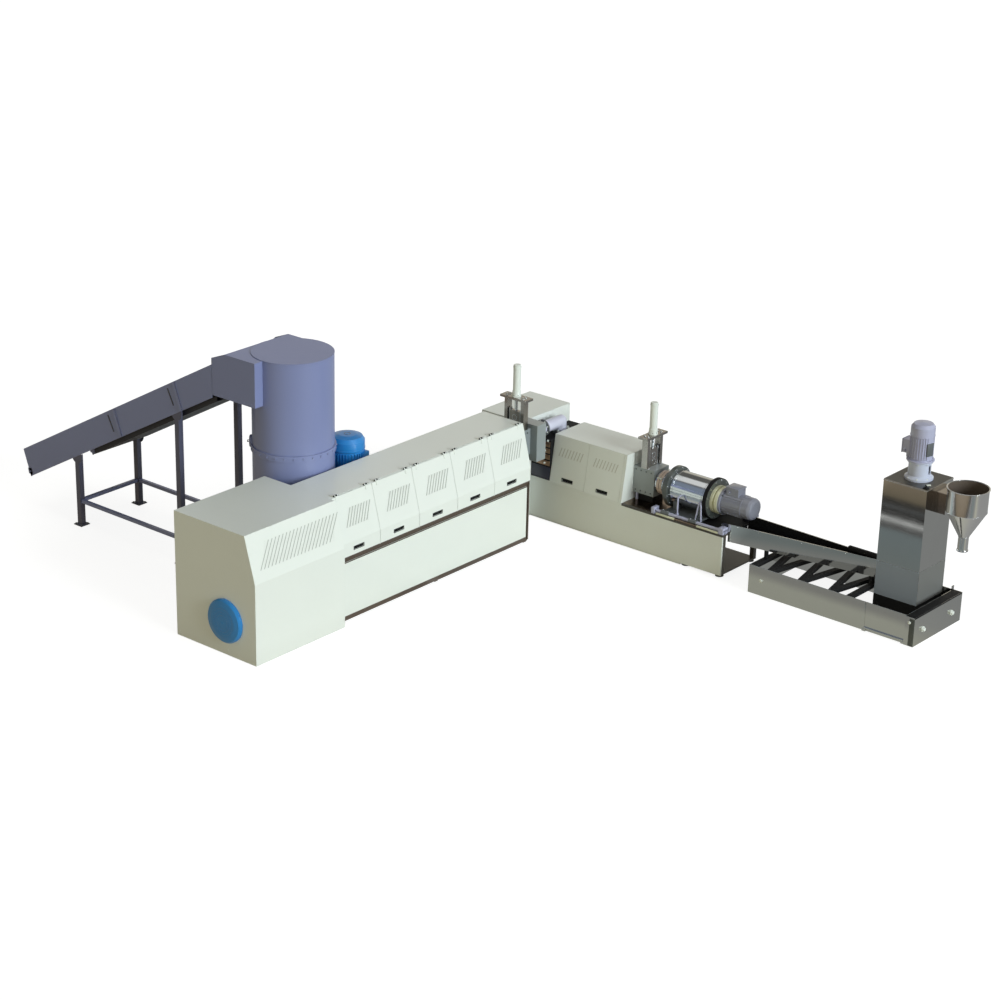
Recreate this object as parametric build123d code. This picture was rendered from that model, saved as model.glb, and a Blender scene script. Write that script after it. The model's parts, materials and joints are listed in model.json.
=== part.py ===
"""Two-stage plastic recycling and pelletizing line.

Shredded film climbs an inclined belt into a round compactor. A side throat feeds the
first extruder, whose melt passes a slide-plate screen changer and a melt pipe into the
second extruder on its bed. A second screen changer and the die follow. A cutter on a
sliding carriage faces the die. The pellets run down a tapered trough into a centrifugal
dryer tower, which blows them into a small cyclone.

Units are millimetres and Z is up. The origin is on the floor, in the middle of the first
drive housing's footprint. X runs along the second stage, towards the dryer, and Y runs
along the first extruder.
"""
from build123d import *
import math
import os

# Common sheet and fit sizes
SHEET = 6.0
PANEL = 20.0
SEAT_GAP = 0.3
RUN_GAP = 6.0
PIN_FIT = 0.05

# First drive housing
DRIVE_L = 1336.0
DRIVE_W = 1510.0
STAGE1_H = 1600.0
SHOULDER_Z = 1030.0
DRIVE_SHOULDER = 166.0
COWL_D = 550.0
COWL_DEPTH = 70.0
COWL_Z = 441.0

# First extruder and its guard
SCREW1_X = 178.0
SCREW1_Z = 1250.0
GUARD_BACK = 400.0
GUARD_FRONT = 408.0
DOOR_COUNT = 5
DOOR_PITCH = 716.0
DOOR_THICK = 20.0
DOOR_SHOULDER = 148.0
DOOR_BOTTOM_Z = 845.0
DOOR_SWING_GAP = 7.0
TUBE = 60.0
RAIL_MID_Z = 782.0
RAIL_LOW_Z = 32.0
RAIL_LOW_H = 45.0
LOWER_SHEET = 14.0
BARREL_D = 180.0
BAND_D = 250.0
BAND_L = 210.0
BAND_COUNT = 8
BAND_START = 160.0
BAND_STOP = 80.0

# Door hinges
HINGE_OFFSET = 97.0
HINGE_RISE = 14.0
HINGE_BACK = 8.0
PIN_R = 5.0
KNUCKLE_R = 10.0
KNUCKLE_L = 40.0
LUG_L = 12.0
LUG_GAP = 0.5
BRACKET_L = 70.0
BRACKET_T = 6.0
LUG_FOOT = 30.0
LEAF_L = 50.0
LEAF_T = 6.0

# Compactor
DRUM_BESIDE = 560.0
DRUM_ALONG = 625.0
DRUM_R = 509.0
DRUM_WALL = 10.0
DRUM_FLOOR_Z = 1090.0
DRUM_TOP_Z = 3015.0
DRUM_END_T = 12.0
BAND_RING_Z = 1765.0
BAND_RING_H = 75.0
BAND_RING_T = 18.0
PORT_D = 160.0
PORT_Z = 1858.0
PORT_ANGLE = 223.0
PORT_PROUD = 18.0
PORT_DOME = 20.0
MOUTH_INNER = 0.55
MOUTH_HALF = 0.7
MOUTH_SILL = 60.0
MOUTH_HEAD = 80.0
OUTLET_INNER = 0.8
OUTLET_INSET = 20.0
CUT_PAST = 10.0
BASE_Z = 900.0
BASE_MARGIN = 40.0
DRUM_LEG = 100.0
DRUM_FOOT_MARGIN = 25.0
DRUM_FOOT_T = 15.0
ROTOR_MOTOR_D = 440.0
ROTOR_MOTOR_GAP = 26.0
ROTOR_MOTOR_SHIFT = 200.0
ROTOR_MOTOR_TOP = 1800.0
THROAT_W = 200.0
THROAT_H = 200.0

# Inclined feed conveyor and head hood
CONV_LEAD = 645.0
CONV_W = 1103.0
CONV_SLOPE = 29.0
CONV_REACH = 4420.0
CONV_DEPTH = 375.0
CONV_RAKE_X = 128.0
HOOD_REACH = 750.0
HOOD_FLAT = 520.0
HOOD_PAST = 7.0
HOOD_BELOW_LID = 8.0
HOOD_H = 567.0
HOOD_FALL = 92.0
HOOD_STEP = 176.0
BELT_T = 12.0
BELT_SIDE_GAP = 20.0
BELT_DROP = 90.0
PULLEY_D = 200.0
PULLEY_GAP = 10.0
SHAFT_R = 30.0
HEAD_BACK = 130.0
TAIL_RUN = 260.0
CLEAT_H = 60.0
CLEAT_T = 15.0
CLEAT_PITCH = 420.0
CLEAT_INSET = 30.0
CLEAT_SINK = 1.0
SLIDER_INSET = 160.0
SLIDER_BELOW = 2.0
SLIDER_T = 10.0
TRAY_DROP = 70.0
TRAY_REACH = 3072.0
LEG_W = 75.0
LEG_LOW_REACH = 3338.0
LEG_HIGH_REACH = 1402.0
LEG_FOOT = 150.0
LEG_FOOT_T = 12.0
GUSSET_R = 95.0
GUSSET_T = 8.0
EDGE_FOLD = 30.0
RIB_REACHES = (2597.0, 1459.0)
RIB_W = 45.0
RIB_PROUD = 14.0
RAIL_Z = 340.0
RAIL_W = 45.0

# Screen changers
BLOCK_ACROSS = 310.0
BLOCK_H = 356.0
BLOCK1_ALONG = 230.0
BLOCK2_ALONG = 330.0
STAND_START = 10.0
STAND_STOP = 40.0
STAND_HALF = 110.0
ADAPTOR_L = 60.0
ADAPTOR_D = 220.0
YOKE_W = 320.0
YOKE_D = 90.0
YOKE_COLUMN = 50.0
YOKE_H = 400.0
YOKE_PLATE_W = 430.0
YOKE_PLATE_D = 150.0
YOKE_PLATE_T = 30.0
SLIDE_W = 160.0
SLIDE_D = 54.0
SLIDE_H = 240.0
RAM_D = 100.0
RAM_L = 430.0
RAM_FLANGE = 22.0
RAM_CHAMFER = 8.0

# Melt pipe between the stages
ELBOW_BOX_W = 530.0
ELBOW_BOX_D = 180.0
ELBOW_BOX_H = 495.0
ELBOW_DROP = 17.0
PIPE_D = 160.0
PIPE_RISE = 26.0

# Second stage
BED_SETBACK = 710.0
BED_W = 800.0
BED_H = 578.0
BED_X0 = 13.0
BED_L = 3101.0
BED_TOP_T = 25.0
BED_POST = 60.0
BED_OPEN_L = 640.0
FOOT_H = 30.0
FOOT_D = 90.0
FOOT_INSET_X = 60.0
FOOT_INSET_Y = 70.0
BED_BOTTOM_T = 20.0
DRIVE2_L = 690.0
DRIVE2_W = 1000.0
DRIVE2_H = 1380.0
FEED_BOX_L = 317.0
FEED_BOX_H = 560.0
FEED_BOX_INSET = 15.0
SCREW2_Z = 860.0
COVER_L = 1180.0
COVER_GAP = 8.0
COVER_TOP_Z = 1215.0
COVER_LEAN = 100.0
COVER_DOOR_T = 12.0
COVER_DOOR_L = 570.0
DOOR_SEAM = 2.0
COVER_HANDLE_Z = 645.0
COVER_VENT_Z = 940.0
COVER_VENT_H = 120.0

# Vents and flush pull handles
SLAT_W = 16.0
SLAT_DEPTH = 5.0
SLAT_LEAN = 0.29
DRIVE_SLATS = 20
DRIVE_SLAT_PITCH = 61.0
DRIVE_SLAT_Y = -562.0
DRIVE_SLAT_Z = 1170.0
DRIVE_SLAT_L = 310.0
DOOR_SLATS = 8
DOOR_SLAT_PITCH = 50.0
DOOR_SLAT_START = 190.0
DOOR_SLAT_Z = 1212.0
DOOR_SLAT_L = 225.0
HANDLE_L = 175.0
HANDLE_H = 40.0
HANDLE_DEPTH = 12.0
HANDLE_BAR = 12.0
HANDLE_Z = 936.0
HANDLE_SHIFT = -22.0

# Die, cutter and carriage
DIE_D = 300.0
DIE_L = 160.0
DIE_FACE_D = 400.0
DIE_FACE_T = 60.0
CUTTER_FLANGE_D = 540.0
CUTTER_FLANGE_T = 55.0
CUTTER_D = 450.0
CUTTER_L = 560.0
CUTTER_END_D = 530.0
CUTTER_END_T = 50.0
COUPLING_D = 360.0
COUPLING_L = 110.0
COUPLING_GROOVE = 24.0
CUTTER_MOTOR_D = 290.0
CUTTER_MOTOR_L = 470.0
CUTTER_MOTOR_FLANGE_D = 350.0
CUTTER_MOTOR_FLANGE_T = 30.0
CUTTER_BOX_START = 70.0
CUTTER_BOX_L = 180.0
CUTTER_BOX_W = 160.0
CUTTER_BOX_RISE = 90.0
CUTTER_BOX_SINK = 40.0
ROD_R = 20.0
ROD_Z = 617.0
ROD_Y_INSET = 22.0
ROD_END_T = 40.0
ROD_BEFORE = 60.0
ROD_CLAMP_WALL = 6.0
ROD_CLAMP_HALF = 20.0
BUSH_R = 32.0
BUSH_L = 120.0
BUSH_FIT = 0.5
CARRIAGE_T = 25.0
CARRIAGE_DROP = 4.0
SADDLE_T = 60.0
SADDLE_INSET = 60.0
SADDLE_HALF = 190.0
SADDLE_BELOW = 60.0

# Pellet trough
TROUGH_TOP_Z = 700.0
TROUGH_DEPTH = 232.0
TROUGH_START = 115.0
TROUGH_START_W = 440.0
TROUGH_END = 417.0
TROUGH_END_W = 90.0
BRACE_W = 70.0
BRACE_H = 50.0
BRACE_BAYS = 3
BRACE_BAY = 440.0
BRACE_POST = 40.0

# Dryer
FRAME3_AFTER = 492.0
FRAME3_L = 2248.0
FRAME3_BEFORE = 102.0
FRAME3_W = 1044.0
FRAME3_H = 371.0
FRAME3_T = 8.0
BEARER_W = 80.0
BEARER_H = 100.0
END_BOX_L = 131.0
END_BOX_PROUD = 28.0
TOWER_AFTER = 2016.0
TOWER_W = 592.0
TOWER_INSET = 330.0
TOWER_Z1 = 1792.0
LANTERN_D = 270.0
LANTERN_H = 235.0
LANTERN_FLANGE_D = 345.0
LANTERN_FLANGE_T = 25.0
LANTERN_WALL = 12.0
LANTERN_WINDOW_W = 38.0
LANTERN_WINDOW_H = 110.0
DRYER_MOTOR_D = 288.0
DRYER_MOTOR_H = 470.0
DRYER_MOTOR_BASE_T = 20.0
TERMINAL_BOX_L = 75.0
TERMINAL_BOX_W = 140.0
TERMINAL_BOX_H = 165.0
TERMINAL_BOX_Z = 62.0
DUCT_W = 300.0
DUCT_H = 260.0
DUCT_BELOW_TOP = 42.0
DUCT_L = 128.0
CYCLONE_D = 490.0
CYCLONE_CYL_H = 290.0
CYCLONE_CONE_H = 330.0
CYCLONE_OUT_D = 125.0
CYCLONE_OUT_L = 180.0
CYCLONE_ABOVE_TOWER = 53.0
CYCLONE_WALL = 5.0
CYCLONE_RIM = 10.0


def block(x0, x1, y0, y1, z0, z1):
    """A box between two corners."""
    return Pos((x0 + x1) / 2, (y0 + y1) / 2, (z0 + z1) / 2) * Box(x1 - x0, y1 - y0, z1 - z0)


def prism_xz(points, y0, y1):
    """A profile in the XZ plane, carried from y0 to y1."""
    return extrude(Plane.XZ.offset(-y0) * Polygon(*points, align=None), y1 - y0, dir=(0, 1, 0))


def prism_yz(points, x0, x1):
    """A profile in the YZ plane, carried from x0 to x1."""
    return extrude(Plane.YZ.offset(x0) * Polygon(*points, align=None), x1 - x0, dir=(1, 0, 0))


def prism_xy(points, z0, z1):
    """A plan outline, carried from z0 to z1."""
    return extrude(Plane.XY.offset(z0) * Polygon(*points, align=None), z1 - z0, dir=(0, 0, 1))


def rod_x(radius, x0, x1, y, z):
    """A round bar along X."""
    return Pos((x0 + x1) / 2, y, z) * Rot(0, 90, 0) * Cylinder(radius, x1 - x0)


def rod_y(radius, y0, y1, x, z):
    """A round bar along Y."""
    return Pos(x, (y0 + y1) / 2, z) * Rot(90, 0, 0) * Cylinder(radius, y1 - y0)


def rod_z(radius, z0, z1, x, y):
    """A round bar along Z."""
    return Pos(x, y, (z0 + z1) / 2) * Cylinder(radius, z1 - z0)


def turned(points, plane):
    """A half profile of radius and height, turned about the plane's local Z axis."""
    return plane * revolve(Plane.XZ * Polygon(*points, align=None), Axis.Z)


def save(name, shape):
    """Write one named piece, which is one shape or a list of shapes."""
    pieces = shape if isinstance(shape, list) else [shape]
    solids = [solid for piece in pieces for solid in piece.solids()]
    export_step(Compound(children=solids), f"parts/{name}.step")


# Places worked out from the sizes above
half_l, half_w = DRIVE_L / 2, DRIVE_W / 2
guard_x0 = SCREW1_X - GUARD_BACK
guard_x1 = SCREW1_X + GUARD_FRONT
guard_y0 = half_w
guard_y1 = guard_y0 + DOOR_COUNT * DOOR_PITCH
guard_top_x = guard_x1 - DOOR_SHOULDER
slope_len = math.hypot(DOOR_SHOULDER, STAGE1_H - SHOULDER_Z)
slope_dx, slope_dz = DOOR_SHOULDER / slope_len, -(STAGE1_H - SHOULDER_Z) / slope_len
normal_x, normal_z = -slope_dz, slope_dx
hinge_x = guard_top_x - HINGE_BACK
hinge_z = STAGE1_H + HINGE_RISE
inner_top_x = guard_top_x - DOOR_THICK * normal_x
roof_front_x = inner_top_x - DOOR_SWING_GAP

drum_x = guard_x0 - DRUM_BESIDE
drum_y = half_w + DRUM_ALONG
rotor_motor_x = drum_x + ROTOR_MOTOR_SHIFT
conv_y0 = drum_y - CONV_LEAD
hood_low_x, hood_top_x, hood_end_x = drum_x - HOOD_REACH, drum_x - HOOD_FLAT, drum_x - HOOD_PAST
hood_top_z = DRUM_TOP_Z - HOOD_BELOW_LID
hood_bottom_z, hood_low_top_z = hood_top_z - HOOD_H, hood_top_z - HOOD_FALL
leg_low_x, leg_high_x = drum_x - LEG_LOW_REACH, drum_x - LEG_HIGH_REACH
tray_start_x = drum_x - TRAY_REACH
conv_low_x = drum_x - CONV_REACH

conv_tan = math.tan(math.radians(CONV_SLOPE))
conv_cos = math.cos(math.radians(CONV_SLOPE))
conv_sin = math.sin(math.radians(CONV_SLOPE))
conv_low_z = hood_top_z - HOOD_STEP - (hood_low_x - conv_low_x) * conv_tan
conv_y1 = conv_y0 + CONV_W
plate_drop = CONV_DEPTH / conv_cos

bed_x1 = BED_X0 + BED_L
bed_y0 = guard_y1 + BED_SETBACK
frame3_x0, frame3_y0 = bed_x1 + FRAME3_AFTER, bed_y0 - FRAME3_BEFORE
frame3_x1 = frame3_x0 + FRAME3_L
tower_x0, tower_y0 = bed_x1 + TOWER_AFTER, bed_y0 + TOWER_INSET
trough_start_y, trough_end_y = bed_y0 + TROUGH_START, bed_y0 + TROUGH_END
screw2_y = bed_y0 + BED_W / 2
feed_box_x1 = BED_X0 + FEED_BOX_L
cover_x0 = feed_box_x1 + COVER_GAP
cover_x1 = cover_x0 + COVER_L
block2_x1 = cover_x1 + BLOCK2_ALONG
die_x1 = block2_x1 + DIE_L + DIE_FACE_T
trough_x0 = bed_x1 + SEAT_GAP
trough_x1 = tower_x0 - SEAT_GAP


def conv_top(x):
    """Height of the conveyor side plates' top edge above x."""
    return conv_low_z + (x - conv_low_x) * conv_tan


def louvres(plane, start, bottom, count, pitch, length):
    """Cutters for a row of leaning vent slots, in a face whose local axes run along and up."""
    cutters = []
    for index in range(count):
        u, lean = start + index * pitch, length * SLAT_LEAN
        top = bottom + length
        points = [(u, bottom), (u + SLAT_W, bottom), (u + SLAT_W + lean, top), (u + lean, top)]
        face = plane.offset(1) * Polygon(*points, align=None)
        cutters.append(extrude(face, SLAT_DEPTH + 1, dir=-plane.z_dir))
    return cutters


def pull_handle(plane, middle, height):
    """Cutter for a flush pull handle: a shallow pocket that keeps a grip bar along its top."""
    pocket = plane * Pos(middle, height, -HANDLE_DEPTH / 2 + 0.5) * Box(HANDLE_L, HANDLE_H, HANDLE_DEPTH + 1)
    bar = plane * Pos(middle, height + HANDLE_H / 2 - HANDLE_BAR / 2, -HANDLE_BAR / 2 - 1)
    return pocket - bar * Box(HANDLE_L + 2, HANDLE_BAR, HANDLE_BAR)


def sloped_plane(top_x, bottom_x):
    """A plane on a sloped shoulder: origin at its foot on y = 0, local X along, local Y up."""
    run, rise = bottom_x - top_x, STAGE1_H - SHOULDER_Z
    return Plane(origin=(bottom_x, 0, SHOULDER_Z), x_dir=(0, 1, 0), z_dir=(rise, 0, run))


def drive_housing():
    """The closed housing over the first gearbox and motor, with its sloped shoulder."""
    profile = [
        (-half_l, 0), (half_l, 0), (half_l, SHOULDER_Z),
        (half_l - DRIVE_SHOULDER, STAGE1_H), (-half_l, STAGE1_H),
    ]
    plane = sloped_plane(half_l - DRIVE_SHOULDER, half_l)
    slots = louvres(plane, DRIVE_SLAT_Y, DRIVE_SLAT_Z - SHOULDER_Z,
                    DRIVE_SLATS, DRIVE_SLAT_PITCH, DRIVE_SLAT_L)
    return prism_xz(profile, -half_w, half_w) - slots


def drive_motor_cowl():
    """The domed fan cowl of the first drive motor, on the housing's front."""
    r = COWL_D / 2
    profile = [
        (0, 0), (r, 0), (r, COWL_DEPTH * 0.45), (r * 0.93, COWL_DEPTH * 0.75),
        (r * 0.7, COWL_DEPTH * 0.93), (0, COWL_DEPTH),
    ]
    plane = Plane(origin=(SCREW1_X, -half_w, COWL_Z), x_dir=(1, 0, 0), z_dir=(0, -1, 0))
    return turned(profile, plane)


def extruder_frame():
    """Brown square-tube frame: posts, and rails between them, a hair short of the posts."""
    inset = DOOR_THICK + RUN_GAP
    front1 = guard_x1 - inset
    front0 = front1 - TUBE
    back0 = guard_x0 + PANEL
    back1 = back0 + TUBE
    rail_top = STAGE1_H - PANEL
    stations = [guard_y0, (guard_y0 + guard_y1 - TUBE) / 2, guard_y1 - PANEL - TUBE]
    front_post_top = SHOULDER_Z - inset
    pieces = []
    for y in stations:
        pieces.append(block(front0, front1, y, y + TUBE, 0, front_post_top))
        pieces.append(block(back0, back1, y, y + TUBE, 0, rail_top))
        lean = [
            (front0, front_post_top), (front1, front_post_top),
            (front1 - (rail_top - front_post_top) * DOOR_SHOULDER / (STAGE1_H - SHOULDER_Z), rail_top),
            (front0 - (rail_top - front_post_top) * DOOR_SHOULDER / (STAGE1_H - SHOULDER_Z), rail_top),
        ]
        pieces.append(prism_xz(lean, y, y + TUBE))
    fused = []
    for post in range(0, len(pieces), 3):
        fused.append(pieces[post] + pieces[post + 2])
        fused.append(pieces[post + 1])
    for y in stations[:2]:
        y_next = stations[stations.index(y) + 1]
        for x in (front0, back0):
            y0, y1 = y + TUBE + SEAT_GAP, y_next - SEAT_GAP
            fused.append(block(x, x + TUBE, y0, y1, RAIL_LOW_Z, RAIL_LOW_Z + RAIL_LOW_H))
            fused.append(block(x, x + TUBE, y0, y1, RAIL_MID_Z, RAIL_MID_Z + TUBE))
    for y in stations:
        fused.append(block(back1 + SEAT_GAP, front0 - SEAT_GAP, y, y + TUBE, RAIL_MID_Z, RAIL_MID_Z + TUBE))
    return fused


def hinge_bracket(y):
    """A roof hinge: a base plate, two lugs and the pin that the door's knuckle turns on."""
    reach = KNUCKLE_L / 2 + LUG_GAP + LUG_L
    top, foot_x = STAGE1_H + BRACKET_T, roof_front_x - LUG_FOOT
    base = block(roof_front_x - BRACKET_L, roof_front_x, y - reach, y + reach, STAGE1_H, top)
    lug_profile = [
        (foot_x, STAGE1_H), (roof_front_x, STAGE1_H),
        (hinge_x, hinge_z - KNUCKLE_R), (hinge_x, hinge_z + KNUCKLE_R), (foot_x, top),
    ]
    bracket = base
    for y0 in (y - reach, y + reach - LUG_L):
        bracket += prism_xz(lug_profile, y0, y0 + LUG_L)
        bracket += rod_y(KNUCKLE_R, y0, y0 + LUG_L, hinge_x, hinge_z)
    return bracket + rod_y(PIN_R, y - reach, y + reach, hinge_x, hinge_z)


def hinge_places(index):
    """The two hinges' places along one door."""
    y0 = guard_y0 + index * DOOR_PITCH
    return (y0 + HINGE_OFFSET, y0 + DOOR_PITCH - HINGE_OFFSET)


def extruder_roof():
    """Roof sheet of the guard, with the hinge brackets along its front edge."""
    roof = block(guard_x0, roof_front_x, guard_y0, guard_y1, STAGE1_H - PANEL, STAGE1_H)
    for index in range(DOOR_COUNT):
        for y in hinge_places(index):
            roof += hinge_bracket(y)
    return roof


def extruder_panels():
    """Back sheet with the throat's opening, lower front sheet, and the end sheet."""
    inset = DOOR_THICK + RUN_GAP
    sheet_y1 = guard_y1 - PANEL - SEAT_GAP
    back = block(guard_x0, guard_x0 + PANEL, guard_y0, sheet_y1, RAIL_LOW_Z, STAGE1_H - PANEL)
    back -= block(guard_x0 - 1, guard_x0 + PANEL + 1, drum_y - THROAT_W / 2 - 1, drum_y + THROAT_W / 2 + 1,
                  SCREW1_Z - THROAT_H / 2 - 1, SCREW1_Z + THROAT_H / 2 + 1)
    front_x = guard_x1 - inset
    lower_y1 = guard_y1 - PANEL - TUBE / 2
    lower = block(front_x, front_x + LOWER_SHEET, guard_y0, lower_y1, RAIL_LOW_Z + RAIL_LOW_H, RAIL_MID_Z)
    outline = [
        (guard_x0, RAIL_LOW_Z), (front_x - LOWER_SHEET, RAIL_LOW_Z), (front_x - LOWER_SHEET, RAIL_MID_Z),
        (front_x, RAIL_MID_Z), (front_x, SHOULDER_Z - inset),
        (inner_top_x - DOOR_SWING_GAP - 20, STAGE1_H - PANEL), (guard_x0, STAGE1_H - PANEL),
    ]
    end = prism_xz(outline, guard_y1 - PANEL, guard_y1)
    end -= rod_y(ADAPTOR_D / 2 + 1, guard_y1 - PANEL - 1, guard_y1 + 1, SCREW1_X, SCREW1_Z)
    return [back, lower, end]


def guard_door(index):
    """One bent-sheet guard door, hung from two hinges on the roof's front edge."""
    y0 = guard_y0 + index * DOOR_PITCH + RUN_GAP / 2
    y1 = y0 + DOOR_PITCH - RUN_GAP
    if index == 0:
        y0 = guard_y0 + RUN_GAP
    inner_knee = SHOULDER_Z - DOOR_THICK * (1 - normal_x) / normal_z
    profile = [
        (guard_top_x, STAGE1_H), (guard_x1, SHOULDER_Z), (guard_x1, DOOR_BOTTOM_Z),
        (guard_x1 - DOOR_THICK, DOOR_BOTTOM_Z), (guard_x1 - DOOR_THICK, inner_knee),
        (inner_top_x, STAGE1_H - DOOR_THICK * normal_z),
    ]
    door = prism_xz(profile, y0, y1)
    foot_x, foot_z = guard_top_x + slope_dx * LEAF_L, STAGE1_H + slope_dz * LEAF_L
    leaf = [
        (hinge_x, hinge_z - KNUCKLE_R), (guard_top_x, STAGE1_H), (foot_x, foot_z),
        (foot_x + LEAF_T * normal_x, foot_z + LEAF_T * normal_z),
        (guard_top_x + LEAF_T * normal_x, STAGE1_H + LEAF_T * normal_z),
        (hinge_x, hinge_z + KNUCKLE_R),
    ]
    for y in hinge_places(index):
        door += prism_xz(leaf, y - KNUCKLE_L / 2, y + KNUCKLE_L / 2)
        door += rod_y(KNUCKLE_R, y - KNUCKLE_L / 2, y + KNUCKLE_L / 2, hinge_x, hinge_z)
        door -= rod_y(PIN_R + PIN_FIT, y - KNUCKLE_L, y + KNUCKLE_L, hinge_x, hinge_z)
    slope = sloped_plane(guard_top_x, guard_x1)
    front = Plane(origin=(guard_x1, 0, 0), x_dir=(0, 1, 0), z_dir=(1, 0, 0))
    middle = guard_y0 + (index + 0.5) * DOOR_PITCH + HANDLE_SHIFT
    start = guard_y0 + index * DOOR_PITCH + DOOR_SLAT_START
    door -= louvres(slope, start, DOOR_SLAT_Z - SHOULDER_Z, DOOR_SLATS, DOOR_SLAT_PITCH, DOOR_SLAT_L)
    return door - pull_handle(front, middle, HANDLE_Z)


def first_barrel():
    """First extruder barrel with its heater bands and the flange at its outlet."""
    barrel = rod_y(BARREL_D / 2, guard_y0, guard_y1 + ADAPTOR_L, SCREW1_X, SCREW1_Z)
    first = drum_y + THROAT_W / 2 + BAND_START
    pitch = (guard_y1 - PANEL - BAND_STOP - first) / BAND_COUNT
    for index in range(BAND_COUNT):
        y = first + index * pitch
        barrel += rod_y(BAND_D / 2, y, y + BAND_L, SCREW1_X, SCREW1_Z)
    barrel += rod_y(ADAPTOR_D / 2, guard_y1 - PANEL, guard_y1 + ADAPTOR_L, SCREW1_X, SCREW1_Z)
    return barrel


def feed_throat():
    """The square throat from the compactor's wall to the side of the first barrel."""
    duct = block(drum_x, SCREW1_X, drum_y - THROAT_W / 2, drum_y + THROAT_W / 2,
                 SCREW1_Z - THROAT_H / 2, SCREW1_Z + THROAT_H / 2)
    duct -= rod_z(DRUM_R + SEAT_GAP, DRUM_FLOOR_Z, DRUM_TOP_Z, drum_x, drum_y)
    return duct - rod_y(BARREL_D / 2 + SEAT_GAP, guard_y0, guard_y1, SCREW1_X, SCREW1_Z)


def compactor_shell():
    """The compactor's round wall, open to the hood at its top and to the throat below."""
    z0, z1 = DRUM_FLOOR_Z + DRUM_END_T, DRUM_TOP_Z - DRUM_END_T
    shell = rod_z(DRUM_R, z0, z1, drum_x, drum_y)
    shell -= rod_z(DRUM_R - DRUM_WALL, z0 - 1, z1 + 1, drum_x, drum_y)
    half_mouth = DRUM_R * MOUTH_HALF
    mouth = block(drum_x - DRUM_R - CUT_PAST, drum_x - DRUM_R * MOUTH_INNER, drum_y - half_mouth,
                  drum_y + half_mouth, hood_bottom_z + MOUTH_SILL, hood_top_z - MOUTH_HEAD)
    half_w_out, half_h_out = THROAT_W / 2 - OUTLET_INSET, THROAT_H / 2 - OUTLET_INSET
    outlet = block(drum_x + DRUM_R * OUTLET_INNER, drum_x + DRUM_R + CUT_PAST, drum_y - half_w_out,
                   drum_y + half_w_out, SCREW1_Z - half_h_out, SCREW1_Z + half_h_out)
    return shell - mouth - outlet


def compactor_ends():
    """The compactor's lid and floor plates."""
    lid = rod_z(DRUM_R, DRUM_TOP_Z - DRUM_END_T, DRUM_TOP_Z, drum_x, drum_y)
    floor = rod_z(DRUM_R, DRUM_FLOOR_Z, DRUM_FLOOR_Z + DRUM_END_T, drum_x, drum_y)
    return [lid, floor]


def compactor_band():
    """The flange ring round the compactor, with the round port cover above it."""
    ring = rod_z(DRUM_R + BAND_RING_T, BAND_RING_Z, BAND_RING_Z + BAND_RING_H, drum_x, drum_y)
    ring -= rod_z(DRUM_R + SEAT_GAP, BAND_RING_Z - 1, BAND_RING_Z + BAND_RING_H + 1, drum_x, drum_y)
    angle = math.radians(PORT_ANGLE)
    plane = Plane(origin=(drum_x, drum_y, PORT_Z), x_dir=(0, 0, 1), z_dir=(math.cos(angle), math.sin(angle), 0))
    r, rim = PORT_D / 2, DRUM_R + PORT_PROUD
    inside, dome = DRUM_R * 0.88, rim + PORT_DOME
    profile = [(0, inside), (r, inside), (r, rim), (r * 0.75, dome - 4), (0, dome)]
    port = turned(profile, plane)
    port -= rod_z(DRUM_R + SEAT_GAP, DRUM_FLOOR_Z, DRUM_TOP_Z, drum_x, drum_y)
    return ring + port


def base_corners():
    """The drive box's plan corners under the compactor and its motor."""
    motor_y1 = drum_y + DRUM_R + ROTOR_MOTOR_GAP + ROTOR_MOTOR_D
    return (drum_x - DRUM_R + BASE_MARGIN, drum_x + DRUM_R - BASE_MARGIN,
            drum_y - DRUM_R + BASE_MARGIN, motor_y1 + BASE_MARGIN)


def compactor_base():
    """The rotor's drive box under the compactor and its motor."""
    x0, x1, y0, y1 = base_corners()
    return block(x0, x1, y0, y1, BASE_Z, DRUM_FLOOR_Z)


def compactor_legs():
    """The four legs under the drive box, on square feet."""
    x0, x1, y0, y1 = base_corners()
    legs = []
    for x in (x0, x1 - DRUM_LEG):
        for y in (y0, y1 - DRUM_LEG):
            leg = block(x, x + DRUM_LEG, y, y + DRUM_LEG, 0, BASE_Z)
            m = DRUM_FOOT_MARGIN
            foot = block(x - m, x + DRUM_LEG + m, y - m, y + DRUM_LEG + m, 0, DRUM_FOOT_T)
            legs.append(leg + foot)
    return legs


def compactor_motor():
    """The upright motor that turns the compactor's rotor."""
    motor_y = drum_y + DRUM_R + ROTOR_MOTOR_GAP + ROTOR_MOTOR_D / 2
    r, h = ROTOR_MOTOR_D / 2, ROTOR_MOTOR_TOP - DRUM_FLOOR_Z
    profile = [
        (0, 0), (r, 0), (r, 40), (r * 0.93, 60), (r * 0.93, h * 0.72), (r, h * 0.74), (r, h - 70),
        (r * 0.86, h - 22), (r * 0.5, h - 4), (0, h),
    ]
    return turned(profile, Plane(origin=(rotor_motor_x, motor_y, DRUM_FLOOR_Z)))


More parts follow.
